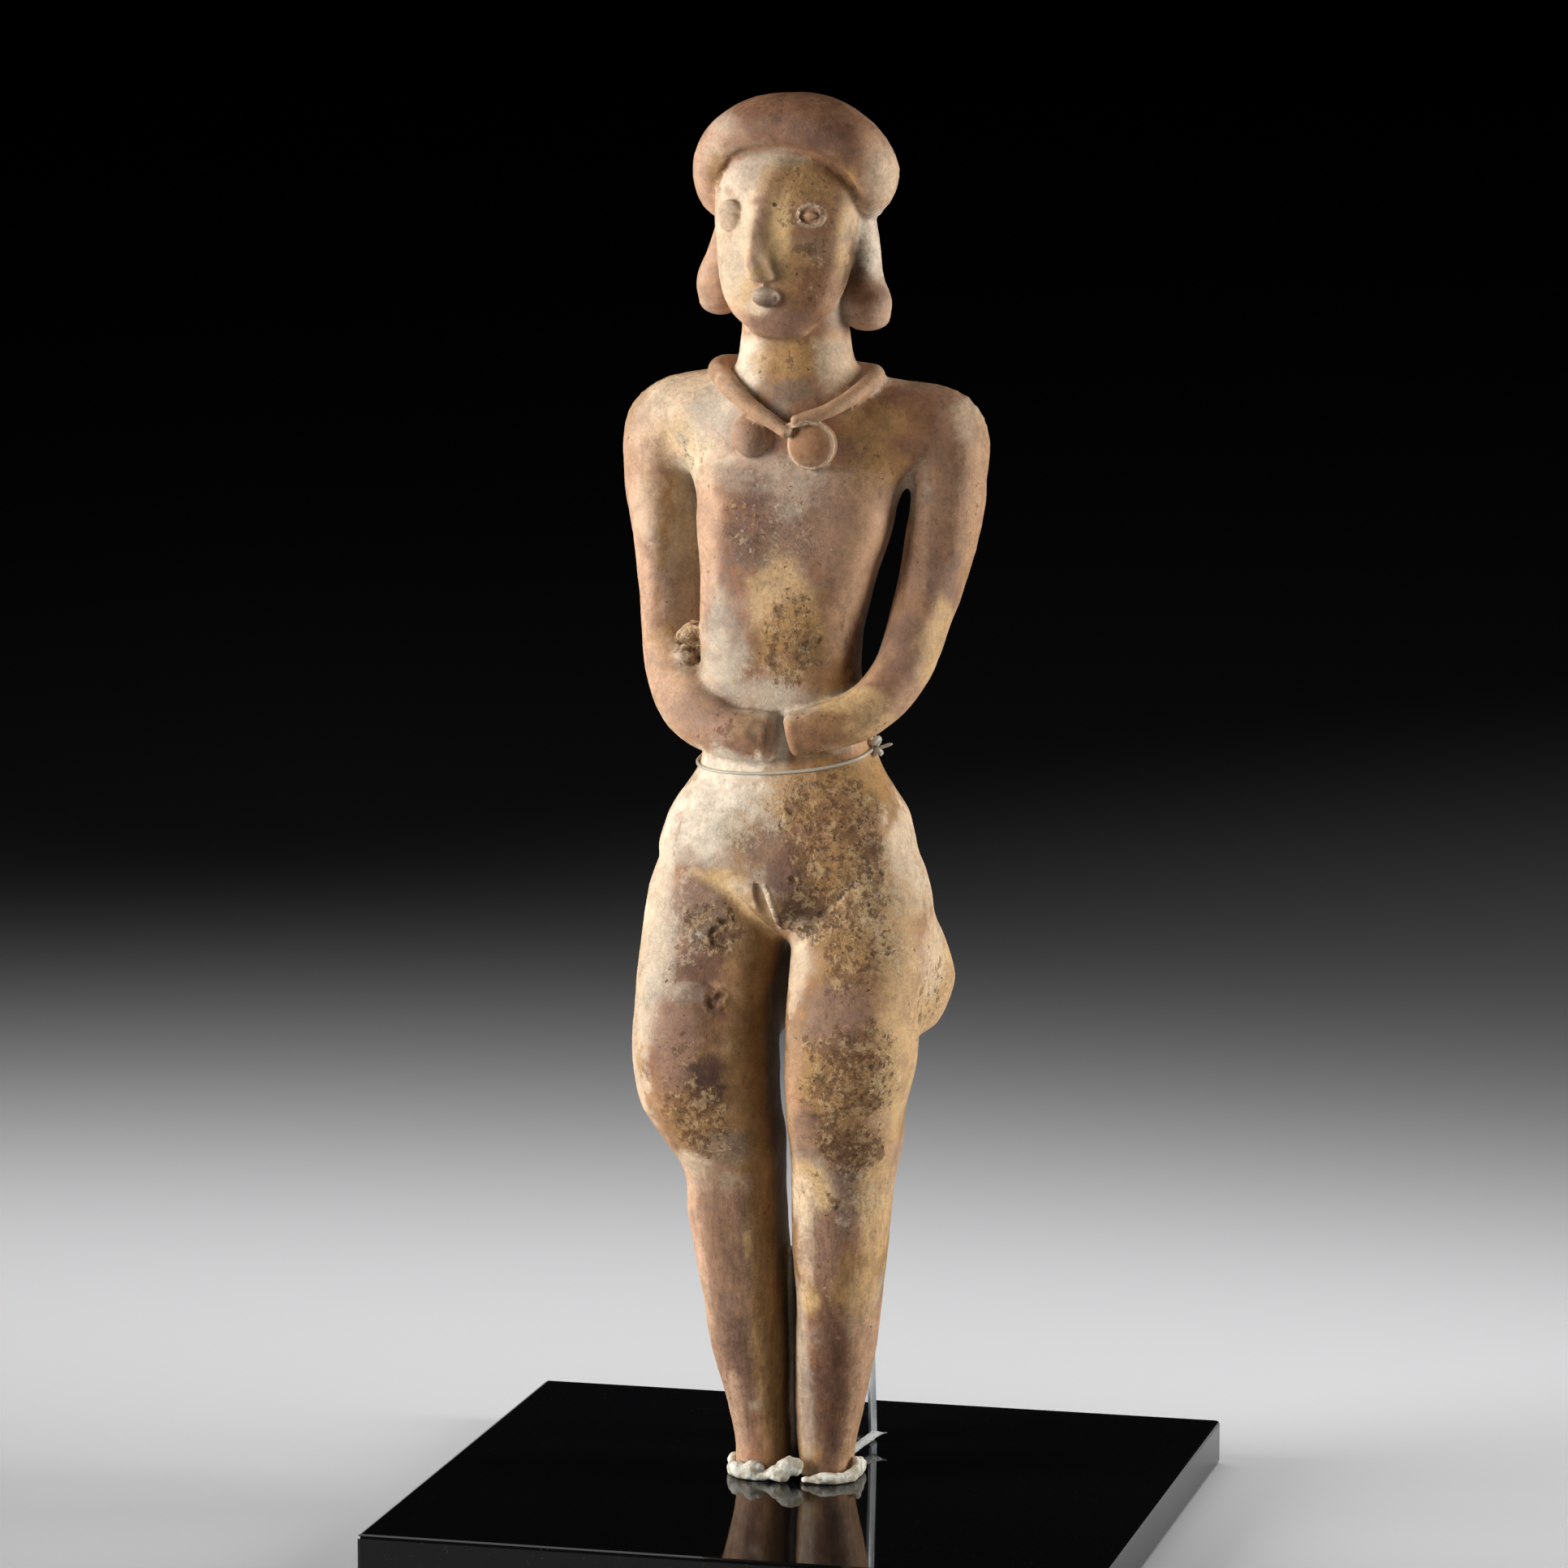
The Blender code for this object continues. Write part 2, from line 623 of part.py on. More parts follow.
def make_upright(parts, acrylic):
    """The clear strip, a little narrower towards its top."""
    bm = bmesh.new()
    height = UPRIGHT_TOP - SOLE_HEIGHT
    bmesh.ops.create_cube(bm, size=1.0)
    for vert in bm.verts:
        above = vert.co.z > 0
        vert.co.x *= 2 * upright_half_width(height if above else 0.0)
        vert.co.y = vert.co.y * UPRIGHT_THICKNESS + UPRIGHT_Y
        vert.co.z = UPRIGHT_TOP if above else SOLE_HEIGHT
    strip = add_object("stand_upright", mesh_from(bm, "stand_upright"), parts, acrylic)
    ease = strip.modifiers.new("eased edges", "BEVEL")
    ease.width = UPRIGHT_EDGE * MM
    ease.segments = 1
    return strip


def tie_height(x, y):
    """Height of the tie above the origin, at a place on the base."""
    return SOLE_HEIGHT + TIE_HEIGHT + TIE_SLOPE * x + TIE_LEAN * y


def taut_loop(points, clearance, step):
    """The convex outline of flat points, grown by a clearance, in even steps."""
    turns = [2 * math.pi * i / 16 for i in range(16)]
    grown = [
        Vector((x + clearance * math.cos(turn), y + clearance * math.sin(turn)))
        for x, y in points
        for turn in turns
    ]
    ring = np.array([grown[i] for i in convex_hull_2d(grown)])
    ring = np.vstack([ring, ring[:1]])
    along = np.concatenate([[0.0], np.cumsum(np.linalg.norm(np.diff(ring, axis=0), axis=1))])
    count = int(along[-1] / step)
    wanted = np.arange(count) * along[-1] / count
    return list(zip(np.interp(wanted, along, ring[:, 0]), np.interp(wanted, along, ring[:, 1])))


def waist_outline(figurine):
    """Flat points of the clay's outline in the sloping band that the tie lies in."""
    points = []
    for rise in (-TIE_RADIUS, 0.0, TIE_RADIUS):
        bm = bmesh.new()
        bm.from_mesh(figurine.data)
        cut = bmesh.ops.bisect_plane(
            bm,
            geom=[*bm.verts, *bm.edges, *bm.faces],
            plane_co=(0.0, 0.0, (tie_height(0.0, 0.0) + rise) * MM),
            plane_no=(-TIE_SLOPE, -TIE_LEAN, 1.0),
        )
        on_cut = [part for part in cut["geom_cut"] if isinstance(part, bmesh.types.BMVert)]
        points += [(vert.co.x / MM, vert.co.y / MM) for vert in on_cut]
        bm.free()
    return points


def tie_path(figurine):
    """A taut loop round the waist and the upright, clear of both."""
    near = waist_outline(figurine)
    half = upright_half_width(TIE_HEIGHT)
    back = UPRIGHT_Y + UPRIGHT_THICKNESS / 2
    near += [(half, back), (-half, back)]
    loop = taut_loop(near, TIE_RADIUS + GAP, TIE_STEP)
    return [(x, y, tie_height(x, y)) for x, y in loop]


def add_tie_knot(tie, path, cutters):
    """The knot at the waist's left side, with its two cut ends."""
    beside = max(path)
    knot = Vector(beside) + Vector((KNOT[0] - 0.1, 0.0, 0.0))
    bm = bmesh.new()
    add_ball(bm, (*knot, *KNOT), segments=12, rings=8)
    lump = add_object("tie_knot", mesh_from(bm, "tie_knot"), cutters)
    pieces = [lump]
    for i, end in enumerate(TIE_ENDS):
        name = f"tie_end_{i}"
        mesh = tube_mesh(name, [knot, knot + Vector(end)], TIE_RADIUS, 8)
        pieces.append(add_object(name, mesh, cutters))
    for piece in pieces:
        hide_cutter(piece)
        add_boolean(tie, piece, "UNION")


def make_tie(parts, cutters, figurine, nylon):
    """The nylon line as a closed loop with its knot."""
    path = tie_path(figurine)
    mesh = tube_mesh("waist_tie", path, TIE_RADIUS, 6, closed=True)
    tie = add_object("waist_tie", mesh, parts, nylon)
    add_tie_knot(tie, path, cutters)
    return tie


def make_peg(parts, cutters, acrylic):
    """The clear rod that leans from the left ankle on the upright, with its thin tip."""
    bm = bmesh.new()
    rod = [(*spot, PEG_RADIUS, PEG_RADIUS) for spot in (PEG_FOOT, PEG_HEAD)]
    add_limb(bm, rod, UPWARDS, caps=(0.4, 0.6), step=10.0, count=STRAND_POINTS)
    peg = add_object("ankle_peg", mesh_from(bm, "ankle_peg", figure_matrix()), parts, acrylic)
    bm = bmesh.new()
    tip = [(*spot, radius, radius) for spot, radius in zip((PEG_HEAD, PEG_TIP), PEG_TIP_RADII)]
    add_limb(bm, tip, UPWARDS, caps=(0.4, 0.2), step=10.0, count=STRAND_POINTS)
    drawn = add_object("peg_tip", mesh_from(bm, "peg_tip", figure_matrix()), cutters)
    hide_cutter(drawn)
    add_boolean(peg, drawn, "UNION")


def make_putty(parts, cutters, putty):
    """A pressed strand of putty round each foot, clear of the clay and the base."""
    bm = bmesh.new()
    for leg in (LEG_RIGHT, LEG_LEFT):
        add_upright(bm, leg[:FOOT_ROWS], power=2.15, caps=(1.0, 1.0), grow=PUTTY_GAP)
    feet = add_object("feet_clearance", mesh_from(bm, "feet", figure_matrix()), cutters)
    hide_cutter(feet)
    under = bpy.data.objects["under_soles"]
    for name, strand in (("putty_right_foot", PUTTY_RIGHT), ("putty_left_foot", PUTTY_LEFT)):
        bm = bmesh.new()
        add_limb(bm, strand, UPWARDS, caps=(1.0, 1.2), count=STRAND_POINTS)
        piece = add_object(name, mesh_from(bm, name, figure_matrix()), parts, putty)
        add_boolean(piece, feet, "DIFFERENCE")
        add_boolean(piece, under, "DIFFERENCE")


def main():
    """Builds the figurine and its stand."""
    for obj in list(bpy.data.objects):
        bpy.data.objects.remove(obj)
    parts = collection("pottery_figurine_on_stand")
    cutters = collection("cutters")
    clay = material("fired_clay", (0.47, 0.27, 0.16), 0.62)
    black = material("black_acrylic", (0.01, 0.01, 0.012), 0.06)
    clear = material("clear_acrylic", (0.9, 0.95, 0.95), 0.05, transmission=1.0)
    nylon = material("nylon_line", (0.82, 0.8, 0.74), 0.35)
    white = material("museum_putty", (0.8, 0.77, 0.68), 0.7)

    figurine = make_figurine(parts, cutters, clay)
    make_base(parts, black)
    make_upright(parts, clear)
    make_tie(parts, cutters, figurine, nylon)
    make_peg(parts, cutters, clear)
    make_putty(parts, cutters, white)


main()
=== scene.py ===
"""The looks of the pottery figurine and its stand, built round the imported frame.

The clay is sculpted here as a field of signed distances in millimetres: rounded forms
are joined with fillets, creases are cut into them, and the surface is drawn out as a
mesh that then gets its lumps, scrapes and pits. The stand gets clear and black acrylic,
a nylon tie with its knot, and hand-pressed putty.

The figure's own frame: x towards its left hand, y towards its back, z up from the soles.
"""

import math

import bmesh
import bpy
import numpy as np
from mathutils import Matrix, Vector
from mathutils.geometry import convex_hull_2d


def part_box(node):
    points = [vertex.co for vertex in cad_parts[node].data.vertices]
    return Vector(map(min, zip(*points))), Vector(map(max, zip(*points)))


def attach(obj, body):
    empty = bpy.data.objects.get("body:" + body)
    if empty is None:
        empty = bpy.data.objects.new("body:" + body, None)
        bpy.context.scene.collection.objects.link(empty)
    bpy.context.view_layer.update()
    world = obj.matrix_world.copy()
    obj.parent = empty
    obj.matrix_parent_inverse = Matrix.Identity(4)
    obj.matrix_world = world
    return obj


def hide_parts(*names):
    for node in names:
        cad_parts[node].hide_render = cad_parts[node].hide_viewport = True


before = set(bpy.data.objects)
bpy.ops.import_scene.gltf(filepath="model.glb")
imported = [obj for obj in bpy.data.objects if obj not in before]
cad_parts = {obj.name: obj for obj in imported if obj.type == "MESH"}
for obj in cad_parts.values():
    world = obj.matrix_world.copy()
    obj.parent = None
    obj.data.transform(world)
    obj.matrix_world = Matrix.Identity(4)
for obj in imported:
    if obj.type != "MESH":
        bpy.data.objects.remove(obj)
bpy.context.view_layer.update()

MM = 0.001  # a millimetre in the scene's metres

# ---- where the figure stands --------------------------------------------------------

SOLE_HEIGHT = 9.8
FIGURE_PLACE = (-2.3, 2.5)
FIGURE_TURN = math.radians(-3.0)
HEAD_TURN = math.radians(-4.0)
HEAD_FROM = (236.5, 240.0)  # the heights between which the body turns into the head

CLAY_STEP = 1.0  # spacing of the grid that the surface is drawn from
CLAY_LOW = (-43.0, -27.0, -3.0)
CLAY_HIGH = (42.0, 28.0, 291.0)
FAR = 9.0  # a distance that counts as clear of everything
FORM_MARGIN = 6.0  # how far round a large form its distance is worked out
DETAIL_MARGIN = 4.0  # and round a small one
CHUNK = 20000  # points measured against a limb at a time
WIPED = -0.3  # what wiping takes off a form

# ---- the figure's forms -------------------------------------------------------------
# Level sections: height, x, y, half width, half depth.

LEG_RIGHT = [
    (-4, -6.9, 0, 6.2, 7),
    (6, -7, 0, 6.2, 7.2),
    (14, -8.1, 0, 6.8, 7.8),
    (24, -9.2, -1, 8.2, 9),
    (38, -10.1, -2.5, 9.1, 10.5),
    (55, -11.7, -4.2, 10, 11.5),
    (66, -12.2, -5.5, 10.5, 12),
    (72.6, -13.9, -7.5, 12.9, 12.5),
    (79.4, -16, -9, 14.5, 13.2),
    (88, -16.8, -10, 15.2, 14),
    (100, -16.9, -8.8, 14.9, 14.4),
    (114, -15.8, -5.6, 15.5, 13.8),
    (126, -14.8, -4.6, 14.7, 13.6),
    (138, -12.4, -3.8, 12, 12.6),
]
LEG_LEFT = [
    (-4, 6.9, 0, 5.3, 6.2),
    (6, 6.8, 0, 6.1, 7.2),
    (14, 7.6, 0, 7.2, 7.8),
    (24, 8.9, -1, 8.1, 9),
    (38, 10.4, -2.5, 8.9, 10.3),
    (55, 11.3, -4.2, 10.1, 11.5),
    (66, 12.3, -5.5, 10.6, 12),
    (72.6, 13.2, -7.5, 11.6, 12.5),
    (79.4, 13.6, -9, 12.1, 13.2),
    (88, 14.9, -10, 13.3, 14),
    (100, 15.4, -8.8, 13.9, 14.4),
    (114, 16, -5.6, 14.6, 13.8),
    (126, 15, -4.6, 14.8, 13.6),
    (138, 12, -3.8, 11.6, 12.6),
]
TRUNK = [
    (118.5, 0.4, -4.6, 5, 8.5),
    (121.5, 0.4, -4.8, 9, 11.6),
    (126, 0.2, -4.6, 15.4, 13.6),
    (132, -1.3, -4.3, 24.5, 14.3),
    (138, -0.5, -4.3, 25.4, 14.1),
    (144.3, -0.2, -3.6, 22.4, 12.9),
    (151, -0.3, -3, 18.9, 12),
    (158, -1, -3.4, 17.6, 11.8),
    (171, -2, -4.4, 16.5, 12),
    (188, -1, -3.2, 18.3, 12.3),
    (201.6, 0.3, -1.4, 20.6, 12.5),
    (210, 0.4, -0.4, 20.4, 12),
]
BUTTOCK_RIGHT = [
    (92, -14.4, 4.5, 9.5, 8),
    (95, -14.8, 6.8, 12.6, 10.8),
    (99, -15.1, 7.8, 14.2, 12.6),
    (105, -15.2, 7.9, 14.6, 13.3),
    (112, -14.8, 7, 13.8, 12.9),
    (120, -14, 5.3, 13, 12),
    (130, -12.5, 3.2, 12, 10.9),
    (139, -11, 1.5, 10.5, 9.5),
]
BUTTOCK_LEFT = [
    (92, 14.5, 4.5, 9.6, 8),
    (95.5, 15.1, 6.8, 13.2, 10.8),
    (99.5, 15.7, 7.8, 14.6, 12.6),
    (105, 16.4, 7.9, 15.3, 13.3),
    (112, 15.9, 7, 14.3, 12.9),
    (120, 14, 5.3, 13.2, 12),
    (130, 12.5, 3.2, 12, 10.9),
    (139, 11, 1.5, 10.5, 9.5),
]
CALF_WEB = [
    (6, 0, 3.4, 2.2, 2.8),
    (30, 0, 3, 2.2, 3.4),
    (46, 0, 2, 1.6, 3),
]
NECK = [
    (214, 0, 0.5, 17, 12),
    (223, 0, -0.8, 14.6, 11.8),
    (232, 0.3, -1, 12.5, 11),
    (240, 0.2, -1.6, 11.3, 10.2),
    (248, 0, -2, 11.2, 9.5),
]

# The head's forms, in the head's own turned frame.

HEAD = [
    (240.2, 0.4, -10.6, 6.2, 5.6),
    (243, 0.2, -9.4, 9.8, 7.9),
    (247, 0, -8.2, 12.3, 9.1),
    (252, 0, -7.2, 13.8, 9.9),
    (257.5, 0, -6.2, 14.7, 10.4),
    (264, 0, -4.9, 15.5, 10.7),
    (271, 0, -3.6, 15, 10.5),
    (277, 0, -2.6, 11.5, 9),
]
NAPE = [
    (246, 0, 3.2, 13, 5),
    (256, 0, 2.8, 15, 6.2),
    (268, 0, 2, 15, 6.8),
    (277, 0, 0.5, 11, 6),
]
FLAP_RIGHT = [
    (245.2, -17, 0.8, 4.6, 4.4),
    (248.6, -17.3, 0.8, 4.9, 4.7),
    (256, -15.9, 0.8, 3.7, 4.2),
    (264, -14, 0.5, 3, 3.8),
]
FLAP_LEFT = [
    (242.6, 15.2, 0.8, 5, 4.6),
    (245.6, 14.9, 0.8, 5.5, 4.8),
    (250.5, 14.5, 0.8, 4.2, 4.3),
    (255, 14.4, 0.8, 3.8, 4.2),
    (264, 14.3, 0.5, 3.2, 3.8),
    (268, 14.3, 0.5, 3.2, 3.8),
]
NOSE = [
    (251.2, -1.1, -17.3, 2.7, 2.7),
    (254.4, -2, -17.3, 2.5, 3.1),
    (258.5, -2.5, -15.9, 1.9, 3),
    (263, -2.4, -14.3, 2, 2.6),
    (267.5, -1.3, -12.8, 2.3, 2.2),
    (271.8, 0.9, -11.6, 2.4, 1.8),
]

# Limbs along a path: x, y, z, half size across the front, half size front to back.

ARM_RIGHT = [
    (-8, 3, 218.5, 10.5, 9.5),
    (-19.5, 4, 220.3, 10.4, 9.4),
    (-28.2, 5.5, 218, 10, 9),
    (-30.8, 6, 208.5, 8, 8.8),
    (-28.9, 4.5, 195, 7.2, 8.7),
    (-27, 2, 180, 7, 8.3),
    (-24.8, -2.5, 169, 6.8, 7.4),
    (-18.2, -10.2, 161.8, 7.1, 6.3),
    (-9.5, -15, 157.9, 6, 5.4),
    (-1.9, -16, 157.4, 5.7, 5),
]
ARM_LEFT = [
    (8, 3, 217.5, 9.6, 9.5),
    (21, 4, 219.2, 10.3, 9.4),
    (28.9, 5.5, 218.2, 9.7, 9),
    (30.8, 6, 208.5, 8.1, 8.8),
    (29.2, 4.5, 195, 7.3, 8.6),
    (26.6, 1, 182, 6.5, 8),
    (23.4, -5, 169.6, 5.9, 7),
    (17.6, -11, 162.6, 5.6, 6),
    (11, -14.6, 159.8, 5.3, 5.2),
    (5.6, -16, 158.4, 5, 4.8),
]
HEADBAND = [
    (-14.4, 0, 263, 2.8, 3.8),
    (-16.2, -0.8, 266.2, 4.1, 5.8),
    (-16.2, -1.8, 271, 5.2, 7.6),
    (-13.4, -3, 275.8, 6.5, 8.7),
    (-7.6, -3.8, 279.5, 7.2, 9.3),
    (0, -4, 280.6, 7.4, 9.5),
    (7.6, -3.8, 279.8, 7.5, 9.3),
    (13.8, -3, 276.1, 6.9, 8.7),
    (17.3, -1.8, 271.4, 5.6, 7.6),
    (17, -0.8, 266.8, 4.2, 5.8),
    (16.2, 0, 264.6, 3, 3.8),
]
NECKLACE = [
    (2.4, -15.4, 220, 1.6, 1.6),
    (-5.4, -14, 224.6, 1.8, 1.8),
    (-12, -8.8, 228.8, 2, 2),
    (-16.2, -0.8, 231.3, 2.1, 2.1),
    (-11.5, 8.5, 231.6, 2, 2),
    (0, 11.8, 231.2, 2, 2),
    (11.5, 8, 230.5, 2, 2),
    (16.9, -0.6, 230, 2.1, 2.1),
    (14.8, -8.2, 226.9, 1.7, 1.7),
    (10.4, -13.2, 224, 1.5, 1.5),
    (4.6, -15.6, 222, 1.4, 1.4),
]

# Rounded forms: the middle's x, y and z and the half sizes.

CHEST = (0.5, 1.4, 217, 26, 12.4, 15)
BREAST_RIGHT = (-5.8, -12, 218.6, 4.2, 4, 4.4)
BREAST_LEFT = (7.2, -12.6, 217, 5.1, 3.3, 5.1)
EYE_RIGHT = (-8.9, -14.3, 263.2, 2.8, 1.5, 3.3)
EYE_LEFT = (8.6, -13.1, 263.5, 2.8, 1.6, 2.2)
MOUTH = (0, -17.5, 247.2, 2.95, 2.6, 2)
MOUND = (1.8, -10.6, 125.5, 10, 9, 9.5)

DIRT = (-20.3, -5.6, 174.2)  # a clod in the bend of the right arm
DIRT_HALF = (1.6, 2.4, 5)  # how far its crumbs lie from there
CRUMBS = 26
CLEFT_PLACE = (-1.2, 122.5)  # x and z; its depth is found on the surface
CLEFT_SIZES = (1.4, 0.8, 5.4)

BACKWARDS = np.array((0.0, 1.0, 0.0))
UPWARDS = np.array((0.0, 0.0, 1.0))
SKEW = np.array((0.31, 0.83, 0.46))  # an axis that no groove runs along

# ---- distances ----------------------------------------------------------------------


def path_lengths(points):
    """The length of each piece of a path, and how far along it each point lies."""
    lengths = np.linalg.norm(np.diff(points, axis=0), axis=1)
    return lengths, np.concatenate([[0.0], np.cumsum(lengths)])


def smooth_rows(rows, step):
    """Rows blended along a smooth curve, a step apart by their first three numbers."""
    rows = np.array(rows, float)
    lengths, along = path_lengths(rows[:, :3])
    slopes = np.gradient(rows, along, axis=0)
    count = max(2, int(round(along[-1] / step)) + 1)
    wanted = np.linspace(0.0, along[-1], count)
    cell = np.clip(np.searchsorted(along, wanted, side="right") - 1, 0, len(rows) - 2)
    width = lengths[cell][:, None]
    t = (wanted - along[cell])[:, None] / width
    start, end = rows[cell], rows[cell + 1]
    return (
        start * (2 * t**3 - 3 * t**2 + 1)
        + slopes[cell] * width * (t**3 - 2 * t**2 + t)
        + end * (3 * t**2 - 2 * t**3)
        + slopes[cell + 1] * width * (t**3 - t**2)
    )


def ramp(value, low, high):
    """0 below low, 1 above high and a smooth step between."""
    t = np.clip((value - low) / (high - low), 0.0, 1.0)
    return t * t * (3 - 2 * t)


def join(a, b, reach):
    """The nearer of two distances, with a fillet about as wide as reach."""
    share = np.clip(1.0 - np.abs(a - b) / np.maximum(reach, 1e-6), 0.0, None)
    return np.minimum(a, b) - share**2 * reach / 4


class Form:
    """A closed shape: its distance function, its box, its fillet, and whether it cuts."""

    def __init__(self, distance, low, high, fillet, cut=False):
        self.distance = distance
        self.low = np.array(low, float)
        self.high = np.array(high, float)
        self.fillet = fillet
        self.cut = cut


def section_distance(across, deep, beyond, half_across, half_deep, cap, power, blunt=2.0):
    """Distance from a superelliptic section, rounded off past the end of the form."""
    flat = (
        np.abs(across / half_across) ** power + np.abs(deep / half_deep) ** power
    ) ** (1 / power)
    full = (flat**blunt + np.abs(beyond / cap) ** blunt) ** (1 / blunt)
    reach = np.sqrt(across**2 + deep**2 + beyond**2)
    return (full - 1.0) * (reach + 1e-3 * half_across) / (full + 1e-3)


def upright(rows, power=2.0, caps=(3.0, 3.0), fillet=4.0, grow=WIPED, inner=None):
    """A form with level sections; inner gives one side, as +1 or -1, its own power."""
    swapped = [(x, y, z, wide + grow, thick + grow) for z, x, y, wide, thick in rows]
    table = smooth_rows(swapped, 0.5)
    heights = table[:, 2]

    def distance(points):
        z = np.clip(points[:, 2], heights[0], heights[-1])
        x, y, wide, thick = (np.interp(z, heights, table[:, i]) for i in (0, 1, 3, 4))
        beyond = points[:, 2] - z
        cap = np.where(beyond < 0, caps[0], caps[1])
        across = points[:, 0] - x
        own_power = power
        if inner:
            own_power = np.where(across * inner[0] > 0, inner[1], power)
        return section_distance(across, points[:, 1] - y, beyond, wide, thick, cap, own_power)

    sizes = np.column_stack([table[:, 3], table[:, 4], np.full(len(table), max(caps))])
    low = (table[:, :3] - sizes).min(axis=0)
    high = (table[:, :3] + sizes).max(axis=0)
    return Form(distance, low, high, fillet)


def limb(
    rows,
    thick_axis,
    power=2.0,
    caps=(3.0, 3.0),
    fillet=3.0,
    blunt=2.0,
    grow=0.0,
    cut=False,
    inner=None,
):
    """A form whose sections are square to a path.

    blunt above 2 squares its ends, and inner gives one side of it a power that varies.
    """
    shortest = min(min(row[3:5]) for row in rows)
    table = smooth_rows(rows, min(0.8, 0.6 * shortest + 0.1))
    table[:, 3:5] += grow
    centres = table[:, :3]
    forward = np.gradient(centres, axis=0)
    forward /= np.linalg.norm(forward, axis=1)[:, None]
    across = np.cross(forward, thick_axis)
    across /= np.linalg.norm(across, axis=1)[:, None]
    deep = np.cross(across, forward)
    last = len(centres) - 1
    spacing = np.linalg.norm(centres[1] - centres[0])

    def distance(points):
        result = np.empty(len(points))
        for start in range(0, len(points), CHUNK):
            part = points[start : start + CHUNK]
            apart = (
                (part**2).sum(axis=1)[:, None]
                - 2 * part @ centres.T
                + (centres**2).sum(axis=1)
            )
            index = apart.argmin(axis=1)
            offset = part - centres[index]
            place = index + (offset * forward[index]).sum(axis=1) / spacing
            held = np.clip(place, 0.0, last)
            lower = np.clip(held.astype(int), 0, last - 1)
            t = (held - lower)[:, None]

            def between(values):
                return values[lower] * (1 - t) + values[lower + 1] * t

            offset = part - between(centres)
            sizes = between(table[:, 3:5])
            beyond = np.where(
                (place < 0) | (place > last), (offset * between(forward)).sum(axis=1), 0.0
            )
            sideways = (offset * between(across)).sum(axis=1)
            own_power = power
            if inner:
                own_power = np.where(sideways > 0, inner(part), power)
            result[start : start + CHUNK] = section_distance(
                sideways,
                (offset * between(deep)).sum(axis=1),
                beyond,
                sizes[:, 0],
                sizes[:, 1],
                np.where(beyond < 0, caps[0], caps[1]),
                own_power,
                blunt,
            )
        return result

    size = max(table[:, 3:5].max(), *caps)
    return Form(distance, centres.min(axis=0) - size, centres.max(axis=0) + size, fillet, cut)


def ball(values, fillet=1.0, cut=False, tilt=0.0):
    """An ellipsoid from its middle and half sizes, tilted in the plane of the front."""
    middle, half = np.array(values[:3]), np.array(values[3:])
    turn = math.radians(tilt)
    rotate = np.array(
        [
            [math.cos(turn), 0.0, math.sin(turn)],
            [0.0, 1.0, 0.0],
            [-math.sin(turn), 0.0, math.cos(turn)],
        ]
    )

    def distance(points):
        own = (points - middle) @ rotate.T
        near = np.linalg.norm(own / half, axis=1)
        slope = np.linalg.norm(own / half**2, axis=1)
        return near * (near - 1.0) / np.maximum(slope, 1e-6)

    reach = half.max()
    return Form(distance, middle - reach, middle + reach, fillet, cut)


def worked(field, forms, points, margin=DETAIL_MARGIN):
    """A field with forms joined to it or cut from it, each worked out only near itself."""
    field = field.copy()
    for form in forms:
        near = np.all((points > form.low - margin) & (points < form.high + margin), axis=1)
        if not near.any():
            continue
        own = points[near]
        reach = form.fillet(own) if callable(form.fillet) else form.fillet
        distance = form.distance(own)
        if form.cut:
            field[near] = -join(-field[near], distance, reach)
        else:
            field[near] = join(field[near], distance, reach)
    return field


def together(forms, points):
    """The joined distance of several forms at some points."""
    return worked(np.full(len(points), FAR), forms, points, FORM_MARGIN)


def turned(points, angle):
    """Points turned about the figure's upright axis."""
    cosine, sine = math.cos(angle), math.sin(angle)
    x = points[:, 0] * cosine - points[:, 1] * sine
    y = points[:, 0] * sine + points[:, 1] * cosine
    return np.column_stack([x, y, points[:, 2]])


def lattice(cells, seed):
    """A repeatable number from 0 to 1 for each cell: large odd numbers mix its bits."""
    mixed = cells[:, 0] * 73856093 ^ cells[:, 1] * 19349663 ^ cells[:, 2] * 83492791
    mixed = (mixed ^ seed * 40503) * 1274126177
    mixed = (mixed ^ (mixed >> 15)) * 668265263
    return ((mixed ^ (mixed >> 13)) & 0xFFFF) / 0xFFFF


def arm_fillet(points):
    """Arms flow into the shoulders above and stay apart from the torso below."""
    return 1.2 + 4.0 * ramp(points[:, 2], 203.0, 214.0)


def nose_fillet(points):
    """The nose runs softly into the cheeks and the brow, and stands free at its tip."""
    return 0.9 + 2.4 * ramp(points[:, 2], 253.0, 258.0)


def inner_arm_power(points):
    """The right upper arm slopes off flat towards the body."""
    return 2.2 - 0.75 * ramp(points[:, 2], 168.0, 180.0)


# ---- the sculpture ------------------------------------------------------------------

SEAT = [
    upright(BUTTOCK_RIGHT, caps=(2.5, 6.0), fillet=1.0),
    upright(BUTTOCK_LEFT, caps=(2.5, 6.0), fillet=2.5),
]
LEGS = [
    upright(LEG_RIGHT, power=2.15, caps=(1.0, 8.0), fillet=1.0, inner=(1, 3.2)),
    upright(LEG_LEFT, power=2.15, caps=(1.0, 8.0), fillet=1.0, inner=(-1, 2.8)),
    upright(CALF_WEB, caps=(2.0, 2.0), fillet=1.5),
]
UPPER = [
    upright(TRUNK, power=2.8, caps=(4.0, 4.5), fillet=1.0),
    ball(CHEST, fillet=6.0),
    upright(NECK, power=2.1, fillet=4.5),
]
SEAT_FILLET = 5.0  # between the legs and the buttocks
WAIST_FILLET = 4.5  # between those and the upper body
NECK_FILLET = 1.0
SOLE_FILLET = 0.5  # round the flat cut under the soles
ARM_LOOK = dict(power=2.2, caps=(3.0, 2.9), fillet=1.0, blunt=3.5, grow=WIPED)
